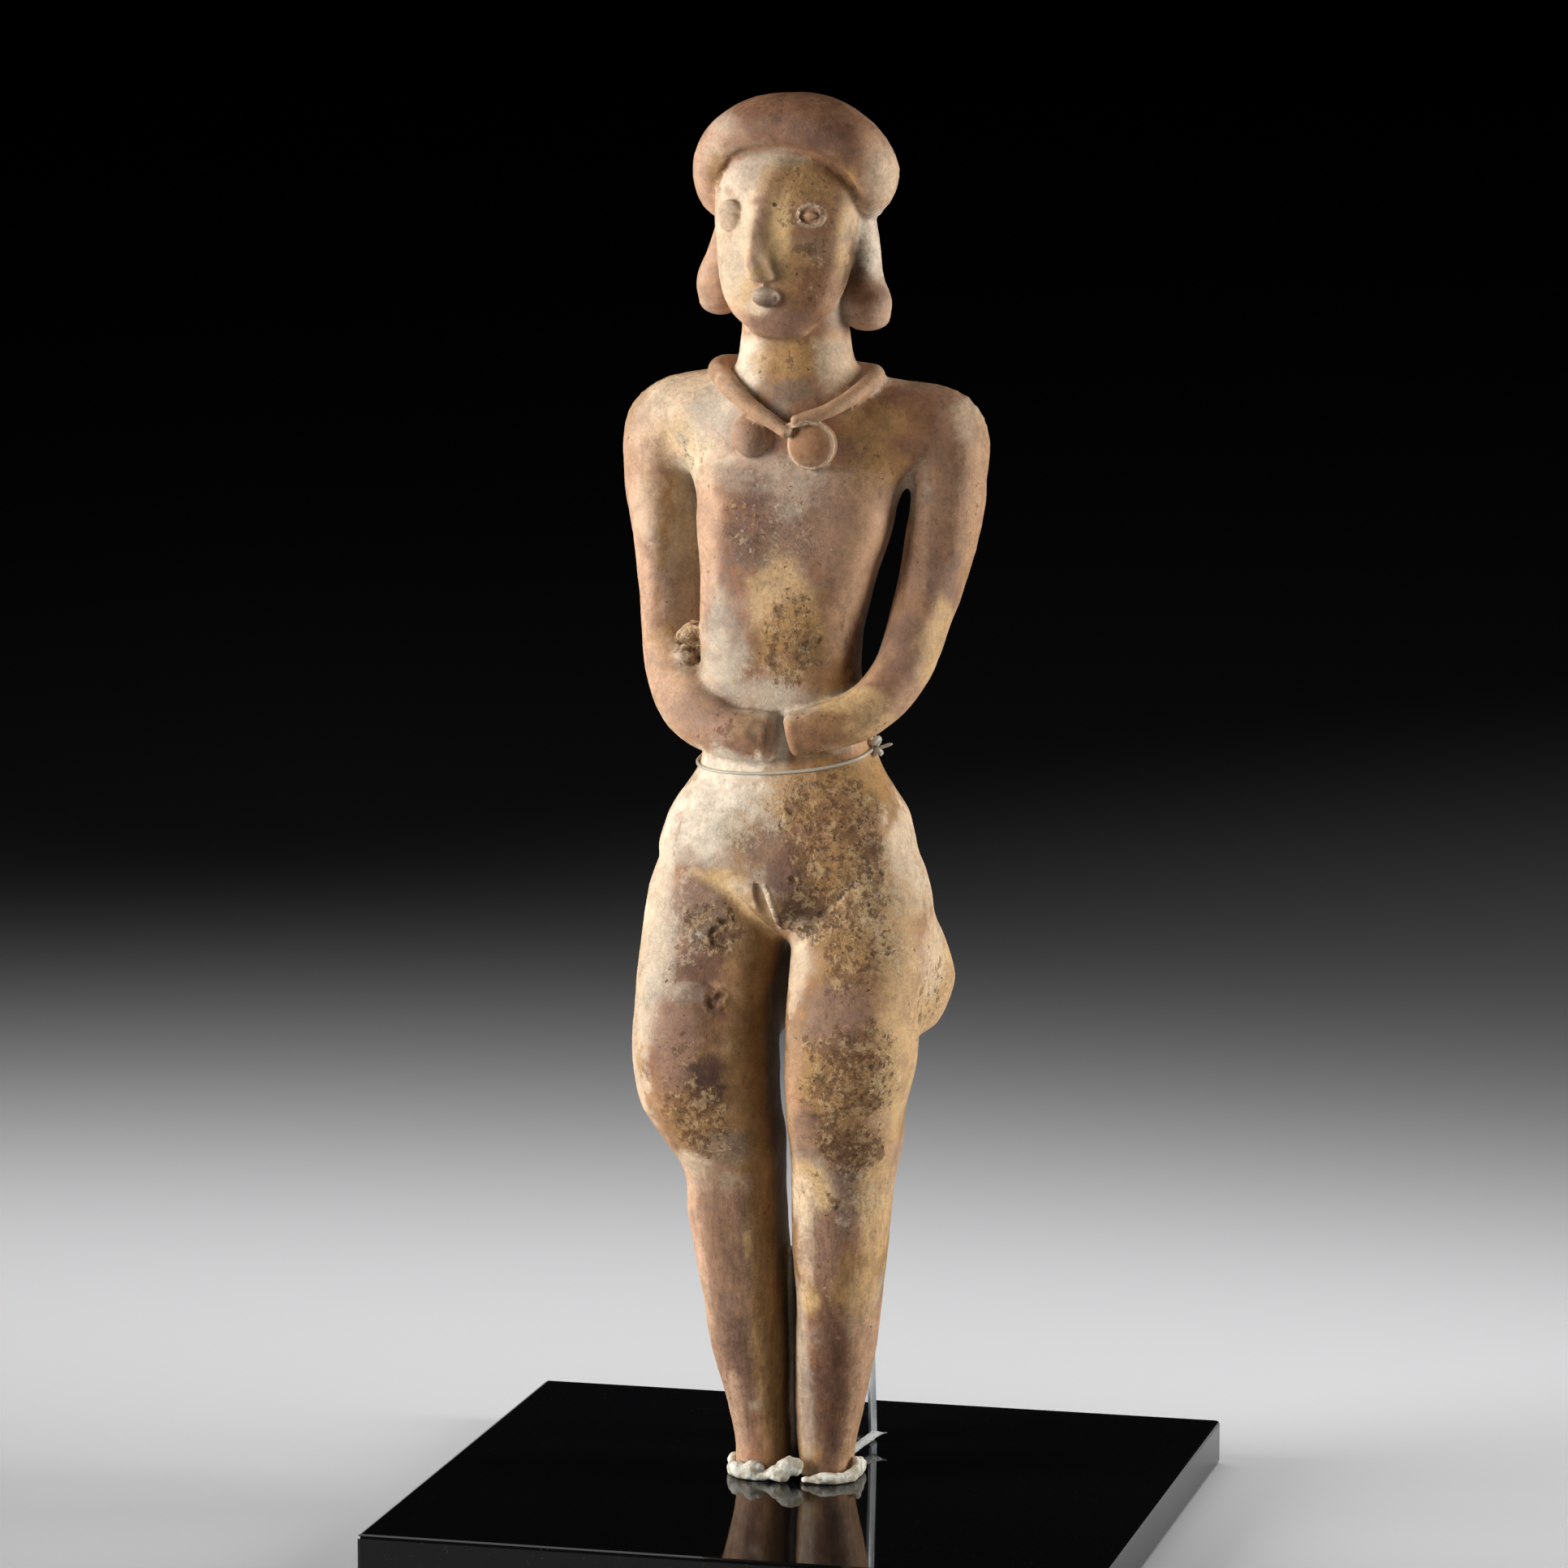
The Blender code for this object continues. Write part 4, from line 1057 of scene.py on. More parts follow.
BODY_PATCHES = [
    # neck
    ("cream", 0.9, (-8, -8, 234.5), (6.5, 8, 8)),
    ("pale", 0.55, (-8.5, -9, 234.5), (4.5, 6, 7)),
    ("ochre", 0.85, (1.5, -12, 234), (7, 6, 5)),
    ("cream", 0.7, (10.5, -7, 234), (3.6, 7, 8)),
    ("grey", 0.7, (2, -13, 227.8), (8, 5, 2.6)),
    # shoulders
    ("cream", 0.95, (-24, -3, 219.5), (13, 12, 10)),
    ("yellow", 0.55, (-24, -6, 216.5), (7, 6, 5)),
    ("ash", 0.8, (-16, -7, 223), (4.5, 7, 7)),
    ("ash", 0.7, (-11.5, -11, 222), (4, 5, 5)),
    ("cream", 0.7, (-17, -8, 213), (6, 6, 6)),
    ("pink", 0.6, (-33, 0, 212), (6, 10, 10)),
    ("red", 0.8, (27, -1, 219), (13, 12, 11)),
    ("cream", 0.55, (37.5, 0, 222), (4, 9, 8)),
    ("ochre", 0.7, (18.5, -7, 221), (6.5, 6, 4.5)),
    ("ochre", 0.7, (20, -7, 212), (8, 6, 5)),
    ("buff", 0.8, (38.5, 1, 212), (2.6, 9, 14)),
    ("ash", 0.55, (-2, -13, 211), (14, 7, 4.2)),
    # torso
    # Painted shade: the torso's left side, in the gap by the left arm, is darkened.
    ("umber", 0.85, (14.6, -2, 179), (2.6, 9, 16)),
    ("pink", 0.8, (-16.5, -10, 195), (4.2, 6, 16)),
    ("purple", 0.8, (-3.6, -13.8, 199.5), (7, 5, 10.5)),
    ("grey", 0.35, (-4, -13.8, 197), (6, 5, 7)),
    ("mauve", 0.45, (-7.5, -13.5, 209.4), (4, 5, 3.4)),
    ("purple", 0.6, (-6.6, -13.6, 198.6), (4.2, 5, 6)),
    ("mauve", 0.8, (5.5, -13.7, 200), (4.5, 5, 9)),
    ("rose", 0.75, (12, -12, 199), (4, 5, 11)),
    ("ash", 0.4, (3.6, -13.6, 206), (5, 5, 3.6)),
    ("buff", 0.85, (17.6, -9.5, 192), (3, 6, 20)),
    ("yellow", 0.85, (1.5, -15.8, 185), (8, 5, 8)),
    ("ochre", 0.9, (4, -15.8, 177), (8, 5, 9)),
    ("umber", 0.45, (7.5, -15.5, 174), (4.5, 4, 4.5)),
    ("ash", 0.9, (-11.5, -14, 174), (6, 7, 12)),
    ("mauve", 0.5, (-8, -15, 182), (3.5, 5, 6)),
    ("ash", 0.7, (-2, -16, 165), (12, 6, 4)),
    # right arm
    ("pink", 0.9, (-34, 2, 190), (5.5, 10, 26)),
    # Painted light: the right upper arm's inner side faces the body in shade and is lightened to
    # drab.
    ("drab", 0.9, (-23, -2, 192), (4.6, 9, 21)),
    ("grey", 0.4, (-22.4, -2, 184), (3, 8, 9)),
    ("cream", 0.4, (-31, -5, 203), (5, 6, 9)),
    ("pink", 0.7, (-28, -5, 170), (6, 9, 7)),
    ("mauve", 0.5, (-15, -16, 162.5), (9, 6, 5)),
    ("red", 0.7, (-11, -18, 158), (7, 5, 4)),
    ("ochre", 0.6, (-5, -20, 160.5), (3.5, 3, 2.5)),
    ("umber", 0.7, (-2.2, -20.5, 158.5), (2.4, 3, 4)),
    ("pink", 0.85, (-23, -10, 164), (9, 8, 6)),
    ("rose", 0.8, (-15, -17, 161), (9, 6, 5)),
    ("cream", 0.6, (-25, -6, 157), (9, 8, 4)),
    ("ash", 0.6, (-20.5, -7.4, 173), (2.8, 4, 6.6)),
    ("yellow", 0.7, (-20.6, -8, 177.4), (2.8, 4, 3.6)),
    # left arm and the hands' gap
    ("mauve", 0.9, (32, -3.5, 197), (4.4, 7, 22)),
    ("brown", 0.5, (33, -3.5, 206), (4, 7, 13)),
    ("buff", 0.8, (38.5, 1, 196), (3.4, 9, 24)),
    ("buff", 0.6, (27, -4, 190), (2, 6, 20)),
    ("mauve", 0.8, (26.5, -9, 176), (4.2, 6, 9)),
    ("yellow", 0.8, (31, -3, 174), (4, 8, 10)),
    ("yellow", 0.85, (16, -16, 165.5), (7, 5, 2.6)),
    ("brown", 0.85, (13, -18.5, 160), (7, 5, 3)),
    ("yellow", 0.6, (20, -13, 160), (6, 6, 3)),
    ("brown", 0.7, (6.8, -20.5, 157), (3, 4, 3.6)),
    ("ash", 0.9, (1.6, -16, 158.5), (1.6, 6, 7)),
    # hips and groin
    ("pale", 0.95, (-9, -15, 146.5), (13, 9, 9)),
    ("pale", 0.8, (-25.5, -9, 134), (6.5, 11, 17)),
    ("ochre", 0.9, (9, -16, 145.5), (12, 7, 8)),
    ("cream", 0.95, (27.5, -6, 138), (5, 11, 18)),
    ("pale", 0.85, (-14.5, -16.5, 138), (6, 6, 6)),
    ("ash", 0.8, (-5, -17.5, 138), (6.5, 6, 4.6)),
    ("mauve", 0.8, (-1, -18.8, 135), (7, 5, 4.2)),
    ("purple", 0.95, (4.4, -18.9, 129.2), (5.6, 5, 5.9)),
    ("ochre", 0.85, (15, -18, 131), (8, 6, 12)),
    ("brown", 0.5, (13, -17.5, 141), (7, 6, 5)),
    ("yellow", 0.6, (19.5, -17, 121), (6, 6, 10)),
    ("yellow", 0.85, (-9.4, -18.8, 128), (4, 4, 2.4)),
    ("cream", 0.6, (-7.4, -18.8, 126.4), (2.8, 4, 2.4)),
    ("cream", 0.8, (-5.2, -18.8, 123), (2.2, 4, 4)),
    ("cream", 0.7, (-1.6, -18, 116.6), (3, 4, 1.8)),
    ("umber", 0.9, (7, -18.5, 121.6), (5.8, 4, 5.2)),
    ("near_black", 0.85, (7, -18.3, 119.8), (4.6, 4, 3.8)),
    ("ash", 0.85, (-1.3, -18.5, 122.5), (1.5, 3, 5.2)),
    ("umber", 0.6, (-13.4, -19, 118.8), (6.4, 4, 5.6)),
    # right thigh
    ("cream", 0.8, (-27, -12, 106), (5.8, 10, 34)),
    ("ash", 0.6, (-25, -14, 98), (5, 8, 16)),
    ("ash", 0.7, (-23, -17, 108), (3.6, 6, 24)),
    ("mauve", 0.85, (-17, -18.5, 123), (5, 6, 5)),
    ("grey", 0.85, (-12, -18.5, 117.5), (7, 5, 5)),
    ("near_black", 0.85, (-11, -18.6, 115.6), (2.8, 3, 3.2)),
    ("ash", 0.7, (-15.6, -19, 114.6), (1.8, 3, 2.6)),
    ("purple", 0.85, (-14, -20.5, 110), (5.5, 5, 5)),
    ("ash", 0.8, (-17.4, -22, 104.6), (3.8, 4, 2.4)),
    ("maroon", 0.75, (-12, -22.5, 100.5), (5.4, 5, 7)),
    ("umber", 0.8, (-10.6, -21.8, 103), (2.3, 3, 2.5)),
    ("mauve", 0.8, (-19, -22, 94), (5, 6, 10)),
    ("ochre", 0.9, (-16, -23, 76.6), (9, 6, 6.6)),
    ("maroon", 1.0, (-11.2, -22.5, 87), (4.8, 5, 5.8)),
    ("near_black", 0.4, (-11, -22.5, 87.6), (4.2, 5, 5)),
    ("ochre", 0.65, (-5.4, -14, 95), (5, 10, 42)),
    # Painted shade: the right thigh's inner side, turned from the key light, is darkened to olive.
    ("olive", 0.85, (-2, -12, 95), (3.4, 12, 42)),
    # right knee and shin
    ("grey", 0.75, (-9.5, -19, 72.5), (5, 5, 4.5)),
    # Painted highlight: a pale spot on the right knee's outer front.
    ("cream", 0.9, (-16.8, -16, 68), (4.6, 5, 3)),
    ("rose", 0.95, (-12, -13, 34), (7, 9, 38)),
    ("pink", 0.95, (-19.4, -9, 44), (4.4, 8, 32)),
    ("mauve", 0.9, (-11.4, -15, 48), (4.4, 6, 17)),
    ("brown", 0.35, (-11, -15, 46), (3.4, 6, 16)),
    ("mauve", 0.95, (-10.4, -10, 24), (4.4, 7, 17)),
    ("purple", 0.45, (-9.6, -10, 22), (3.4, 6, 14)),
    ("umber", 0.4, (-6.4, -12, 38), (2, 6, 30)),
    ("yellow", 0.6, (-6, -13, 52), (1.2, 4, 4)),
    ("yellow", 0.5, (-5.6, -11, 30), (1, 4, 3)),
    ("ochre", 0.8, (-3.4, -9, 35), (2.8, 10, 36)),
    # Painted shade: the gap between the shins, near black.
    ("near_black", 0.9, (0.5, -6, 30), (1.2, 10, 32)),
    # left thigh
    ("cream", 0.7, (5.6, -15, 109), (3.2, 8, 11)),
    ("buff", 0.8, (6.2, -18, 86), (3, 7, 14)),
    ("ochre", 0.85, (15, -20, 112), (7, 6, 8)),
    ("mauve", 0.9, (15, -22, 101.5), (7, 6, 7.5)),
    ("ochre", 0.9, (17, -23, 85), (10, 7, 11)),
    ("brown", 0.6, (18, -23, 92), (4, 6, 6)),
    ("yellow", 0.8, (26.5, -14, 104), (4.2, 9, 26)),
    ("yellow", 0.7, (25, -16, 84), (3.4, 8, 12)),
    ("mauve", 0.85, (8.6, -20.5, 76), (4, 5, 6.5)),
    ("brown", 0.85, (17, -19, 74.5), (7, 6, 5)),
    # left knee and shin
    ("yellow", 0.95, (7, -17, 64), (5, 6, 6.4)),
    ("cream", 0.7, (5.8, -15, 61), (3, 5, 7)),
    ("near_black", 0.75, (10.4, -20.5, 80.2), (1.8, 3, 1)),
    ("grey", 0.7, (15.6, -16, 62), (2.8, 5, 8.5)),
    ("yellow", 0.8, (20.5, -11, 58), (3.4, 7, 16)),
    ("mauve", 0.95, (11, -15, 49), (4.2, 5, 8)),
    ("brown", 0.3, (11, -13, 36), (3.4, 6, 14)),
    ("cream", 0.5, (6.4, -13, 50), (2, 5, 8)),
    ("ochre", 0.8, (16.5, -13, 42), (5, 6, 9)),
    ("yellow", 0.6, (17.5, -11, 40), (3.6, 6, 6.6)),
    ("yellow", 0.85, (6.4, -13, 40), (2.6, 5, 3.4)),
    ("purple", 0.85, (11, -11, 22), (5, 7, 17)),
    ("ash", 0.6, (4.4, -9, 22), (1.8, 7, 20)),
    ("buff", 0.7, (15.8, -5, 24), (2.6, 8, 18)),
    # right foot
    ("pink", 0.7, (-11.5, -5, 10), (3, 6, 14)),
    # the thighs' outer sides
    ("yellow", 0.85, (28, 2, 107), (6, 12, 14)),
    ("cream", 0.7, (29, -2, 112), (2.4, 9, 9)),
    ("buff", 0.5, (-24, 6, 106), (8, 10, 12)),
]

# Where dark specks are thick: strength, middle and half sizes.

SPECKLED = [
    (1.0, (-20.4, -7, 174.2), (3, 4, 6)),
    (1.0, (7.5, -18.5, 121.5), (7, 5, 6)),
    (0.7, (27, -4, 106), (6, 12, 14)),
    (0.5, (-18, -17, 106), (7, 7, 14)),
    (0.35, (4, -17, 136), (12, 6, 6)),
    (0.9, (12, -16, 141), (13, 8, 14)),
    (1.0, (13, -17, 128), (11, 8, 14)),
    (0.9, (18, -18, 114), (8, 8, 12)),
    (0.85, (3.5, -15.5, 178), (7, 6, 12)),
    (1.0, (-12, -18.5, 118), (8, 6, 6)),
    (0.95, (-15, -22, 78), (10, 7, 9)),
    (0.6, (-18, -22, 92), (8, 7, 8)),
    (0.95, (18, -22, 88), (11, 9, 14)),
    (1.0, (17, -19, 75), (8, 7, 8)),
    (0.5, (12, -16, 62), (10, 7, 8)),
    (0.45, (21, -12, 56), (4, 7, 14)),
    (0.65, (6, -14, 267), (8, 6, 7)),
    (0.68, (7, -14, 252), (6.5, 6, 8)),
    (0.5, (14, -4, 256), (3, 6, 8)),
    (0.5, (17, -8, 211), (8, 8, 6)),
    (0.62, (-2, -14, 200), (11, 6, 10)),
    (0.5, (14, -17, 161), (12, 7, 5)),
    (0.45, (-10, -17, 160), (10, 7, 5)),
    (0.4, (0, -12, 234), (9, 6, 6)),
]

# Where pale crust lies, in the same way.

CRUSTED = [
    (0.6, (2, -14, 209), (16, 7, 5)),
    (0.7, (-1, -14, 199), (12, 6, 9)),
    (0.8, (-4, -16, 168), (12, 6, 7)),
    (1.0, (-10, -15, 143), (15, 9, 11)),
    (1.0, (-22, -15, 112), (8, 9, 32)),
    (1.0, (24, -12, 126), (7, 10, 20)),
    (0.7, (18, -18, 92), (12, 8, 14)),
    (0.8, (16, -14, 62), (6, 7, 8)),
    (0.7, (-12, -18, 71), (8, 6, 5)),
    (0.6, (12, -12, 40), (6, 7, 10)),
]


def patch_share(points, wobble, middle, half, soft=0.28):
    """How much of a patch lies at each point; wobble makes its edge uneven."""
    away = np.linalg.norm((points - np.array(middle)) / np.array(half), axis=1)
    return 1.0 - ramp(away + wobble, 1.0 - soft, 1.0 + soft)


def blend_colour(colours, share, name):
    """Mixes a named colour in."""
    return colours + share[:, None] * (np.array(COLOURS[name]) - colours)


def ground_colours(points, normals):
    """The clay's colours without its patches: pale at the sides and darker at the front, partly
    the clay's own colour and partly painted shade, with painted shade on the legs' inner sides.
    """
    mottle = cloud(points, 22.0, 41, 3)
    fine = cloud(points, 7.0, 53, 3)
    colours = np.tile(np.array(COLOURS["buff"]), (len(points), 1))
    colours = blend_colour(colours, ramp(mottle + 0.3 * fine, 0.0, 0.6), "pink")
    colours = blend_colour(colours, ramp(-mottle + 0.3 * fine, 0.1, 0.7), "ochre")
    # Partly painted shade: faces that look to the front or back turn red and mauve, as they darken
    # under lights from the sides.
    facing = np.abs(normals[:, 1]) + 0.22 * fine + 0.15 * mottle
    front_colour_and_shade = 0.85 * ramp(facing, 0.55, 0.95)
    colours = blend_colour(colours, front_colour_and_shade, "red")
    colours = blend_colour(colours, front_colour_and_shade * ramp(fine, 0.1, 0.5), "mauve")
    colours = blend_colour(colours, 0.8 * ramp(cloud(points, 13.0, 67, 3), 0.25, 0.6), "ochre")
    colours = blend_colour(colours, 0.6 * ramp(cloud(points, 16.0, 71, 3), 0.35, 0.7), "ash")
    # Painted shade: where the legs face each other below the groin, their inner sides are darkened
    # to olive.
    between = ramp(-np.abs(points[:, 0]), -7.0, -3.0) * (1 - ramp(points[:, 2], 112.0, 120.0))
    return blend_colour(colours, 0.9 * between * ramp(np.abs(normals[:, 0]), 0.5, 0.8), "olive")


def shin_gap_shade(points):
    """How far a point is inside the gap between the shins, which is painted near black as shade.
    """
    x = np.abs(points[:, 0] - 0.6)
    return (1 - ramp(x, 0.9, 2.2)) * (1 - ramp(points[:, 2], 50.0, 60.0))


def edge_wobble(points, seed):
    """How far the patches' edges stray at each point, as a share of their size."""
    return 0.30 * cloud(points, 7.0, seed, 3) + 0.16 * cloud(points, 2.2, seed + 12, 2)


def head_share(points):
    """1 on the head, 0 on the body."""
    return ramp(points[:, 2], *HEAD_FROM)


def patched(colours, points, wobble, scale):
    """Colours with the patches laid over them, their strengths times a scale."""
    in_head = turned(points, -HEAD_TURN)
    is_head = head_share(points)
    on_band = near_form(BAND, in_head, 0.9)
    for patches, places, here, soft in (
        (HEAD_PATCHES, in_head, is_head, 0.45),
        (BAND_PATCHES, in_head, on_band, 0.4),
        (BODY_PATCHES, points, 1 - is_head, 0.28),
    ):
        for name, strength, middle, half in patches:
            share = patch_share(places, wobble, middle, half, soft)
            colours = blend_colour(colours, scale * strength * here * share, name)
    return colours


def region(points, wobble, places):
    """The strongest of several soft regions at each point."""
    found = np.zeros(len(points))
    for strength, middle, half in places:
        found = np.maximum(found, strength * patch_share(points, wobble, middle, half))
    return found


def near_form(form, points, reach):
    """1 on a form's surface and 0 further off than reach."""
    return 1.0 - ramp(form.distance(points), 0.3 * reach, reach)


def wear_and_shade_layers(points, hollow, in_pit):
    """Colours that follow the shape, in order, with how much of each lies at each point: deposits
    and wear, and painted shade in the head's creases, under the mouth and between the shins.
    """
    in_head = turned(points, -HEAD_TURN)
    is_head = head_share(points)
    necklace, breast_right, breast_left = BODY_DETAILS[1:4]
    eye_rim, band_lip = FACE_LINES[3:]
    eye_right, _, mouth = FACE_DETAILS
    crease, _, cleft_side, breast_rim = BODY_LINES
    deep = ramp(hollow, 0.10, 0.40)
    on_mouth = near_form(mouth, in_head, 0.5)
    # lower marks the mouth pellet's lower part, where shade is painted.
    lower = ramp(-in_head[:, 2], -248.0, -246.0)
    return [
        ("buff", 0.7 * near_form(necklace, points, 0.5)),
        ("rose", 0.7 * near_form(breast_right, points, 0.5)),
        ("brown", 0.7 * near_form(breast_left, points, 0.5)),
        ("cream", 0.6 * near_form(breast_rim, points, 0.4)),
        ("cream", 0.8 * near_form(cleft_side, points, 0.4)),
        ("ash", 0.75 * deep * (1 - is_head)),
        # Painted shade: hollows on the head, such as the crease under the band, are darkened to
        # brown.
        ("brown", 0.5 * deep * is_head),
        ("cream", 0.3 * near_form(eye_right, in_head, 0.5)),
        ("cream", 0.45 * near_form(eye_rim, in_head, 0.3)),
        # Painted shade: the groove under the band's lower edge is darkened to brown.
        ("brown", 0.5 * near_form(band_lip, in_head, 0.5)),
        ("ash", 0.7 * on_mouth),
        # Painted shade: the lower part of the mouth pellet is darkened to umber.
        ("umber", 0.75 * on_mouth * lower),
        ("yellow", 0.6 * near_form(crease, points, 1.4)),
        # Painted shade: the gap between the shins and the web that fills it, near black.
        ("near_black", 0.97 * shin_gap_shade(points)),
        ("cream", 0.35 * ramp(-hollow, 0.12, 0.5)),
        ("umber", 0.75 * in_pit),
    ]


def store(mesh, name, kind, part, values):
    """Keeps values at the mesh's vertices under a name."""
    stored = mesh.attributes.new(name, kind, "POINT")
    stored.data.foreach_set(part, values.astype(np.float32).ravel())


def paint(mesh, points, normals, hollow, in_pit):
    """Gives the clay two colours to mix, and the shares of specks, crust and streaks."""
    ground = ground_colours(points, normals)
    wobble = edge_wobble(points, 11)
    other_wobble = edge_wobble(points, 211) - 0.08
    layers = wear_and_shade_layers(points, hollow, in_pit)
    for name, edge, strength in (("tone", wobble, 1.0), ("other_tone", other_wobble, 0.9)):
        colours = patched(ground, points, edge, strength)
        for own, share in layers:
            colours = blend_colour(colours, share, own)
        full = np.column_stack([colours, np.ones(len(points))])
        store(mesh, name, "FLOAT_COLOR", "color", full)

    spread_specks = 0.12 + 0.3 * ramp(cloud(points, 18.0, 83, 3), -0.1, 0.5)
    spread_crust = (1 - head_share(points)) * ramp(cloud(points, 15.0, 91, 3), 0.2, 0.7)
    legs = 1.0 - ramp(points[:, 2], 58.0, 72.0)
    sides = 0.4 * ramp(np.abs(points[:, 0]), 22.0, 27.0)
    shares = {
        "specks": np.maximum(region(points, wobble, SPECKLED), spread_specks),
        "crust": np.maximum(region(points, wobble, CRUSTED), 0.35 * spread_crust),
        "streaks": np.clip(legs + sides, 0.0, 1.0),
    }
    for name, values in shares.items():
        store(mesh, name, "FLOAT", "value", values)


def make_figurine(finish):
    """The sculpted figurine."""
    finer = (fine_places, finest_places)
    mesh = net_mesh(clay, CLAY_LOW, CLAY_HIGH, CLAY_STEP, finer)
    points = settle(clay, mesh_points(mesh))
    normals = slopes_of(clay, points)
    edges = mesh_edges(mesh)
    hollow = ((evened(points, edges, rounds=8) - points) * normals).sum(axis=1)
    sunk, in_pit = pit_depth(points)
    above_soles = ramp(points[:, 2], 0.0, 2.0)  # the soles stay flat
    moved = points + normals * ((lumps(points) + sunk) * above_soles)[:, None]
    paint(mesh, points, normals, hollow, in_pit)
    set_points(mesh, place_on_base(moved))
    return add_piece("pottery_figurine_clay", mesh, "pottery_figurine", finish)


# ---- materials ----------------------------------------------------------------------

ACRYLIC_IOR = 1.49
NYLON_IOR = 1.53
BLACK = (0.004, 0.004, 0.0045)


class Nodes:
    """A small helper that adds and links a material's nodes."""

    def __init__(self, name):
        self.material = bpy.data.materials.new(name)
        self.material.use_nodes = True
        self.tree = self.material.node_tree
        self.shader = self.tree.nodes["Principled BSDF"]

    def plain(self, **values):
        """Sets the shader's own sockets; underscores stand for spaces."""
        for name, value in values.items():
            self.shader.inputs[name.replace("_", " ")].default_value = value

    def add(self, kind, inputs=None, **settings):
        """A node with settings, and inputs that are values or other nodes' outputs."""
        made = self.tree.nodes.new("ShaderNode" + kind)
        for name, value in settings.items():
            setattr(made, name, value)
        for name, value in (inputs or {}).items():
            self.fill(made.inputs[name], value)
        return made

    def fill(self, socket, value):
        """Links another node's output to a socket, or sets it to a value or a colour."""
        if isinstance(value, bpy.types.NodeSocket):
            self.tree.links.new(value, socket)
        elif socket.type == "RGBA" and len(value) == 3:
            socket.default_value = (*value, 1.0)
        else:
            socket.default_value = value

    def places(self, stretch=(1.0, 1.0, 1.0)):
        """The piece's own coordinates in millimetres; below 1, stretch draws noise out."""
        coordinates = self.add("TexCoord").outputs["Object"]
        scale = tuple(value / MM for value in stretch)
        return self.add("Mapping", {"Vector": coordinates, "Scale": scale}).outputs["Vector"]

    def sideways(self):
        """1 on faces that look along the piece's own x axis, 0 on the others."""
        normal = self.add("TexCoord").outputs["Normal"]
        return self.math("ABSOLUTE", self.add("SeparateXYZ", {0: normal}).outputs[0])

    def noise(self, places, size, detail=3.0, roughness=0.6):
        """Noise from 0 to 1 with grains of about a size in millimetres."""
        inputs = {"Vector": places, "Scale": 1 / size, "Detail": detail, "Roughness": roughness}
        return self.add("TexNoise", inputs).outputs["Fac"]

    def math(self, operation, a, b=0.0):
        """One operation on one or two values."""
        return self.add("Math", {0: a, 1: b}, operation=operation).outputs[0]

    def step(self, value, low, high):
        """0 below low, 1 above high, smooth between."""
        inputs = {"Value": value, "From Min": low, "From Max": high}
        return self.add("MapRange", inputs, interpolation_type="SMOOTHSTEP").outputs[0]

    def spread(self, value, low, high):
        """A value from 0 to 1 laid between two others."""
        return self.add("MapRange", {"Value": value, "To Min": low, "To Max": high}).outputs[0]

    def tint(self, share, base, over):
        """One colour laid over another; sockets 6 and 7 of the node are its two colours."""
        return self.add("Mix", {0: share, 6: base, 7: over}, data_type="RGBA").outputs[2]

    def layer(self, base, over, share, amount):
        """A colour laid over another where a share is high, at most by an amount."""
        return self.tint(self.math("MULTIPLY", share, amount), base, over)

    def total(self, *terms):
        """The sum of several values."""
        whole = terms[0]
        for term in terms[1:]:
            whole = self.math("ADD", whole, term)
        return whole

    def crowded(self, noise, share, shift, low, high):
        """Spots where noise is high, more of them where a share is."""
        return self.step(self.math("ADD", noise, self.spread(share, *shift)), low, high)

    def brighten(self, colour, amount):
        """A colour times an amount."""
        inputs = {0: colour, "Scale": amount}
        return self.add("VectorMath", inputs, operation="SCALE").outputs[0]

    def share(self, name, output="Fac"):
        """A value stored on the mesh."""
        return self.add("Attribute", attribute_name=name).outputs[output]

    def finish(self, colour=None, roughness=None, height=None, depth=0.0002, strength=0.5):
        """Links colour, roughness and relief to the shader; depth is in metres."""
        if colour is not None:
            self.tree.links.new(colour, self.shader.inputs["Base Color"])
        if roughness is not None:
            self.tree.links.new(roughness, self.shader.inputs["Roughness"])
        if height is not None:
            inputs = {"Height": height, "Distance": depth, "Strength": strength}
            bump = self.add("Bump", inputs).outputs["Normal"]
            self.tree.links.new(bump, self.shader.inputs["Normal"])
        return self.material


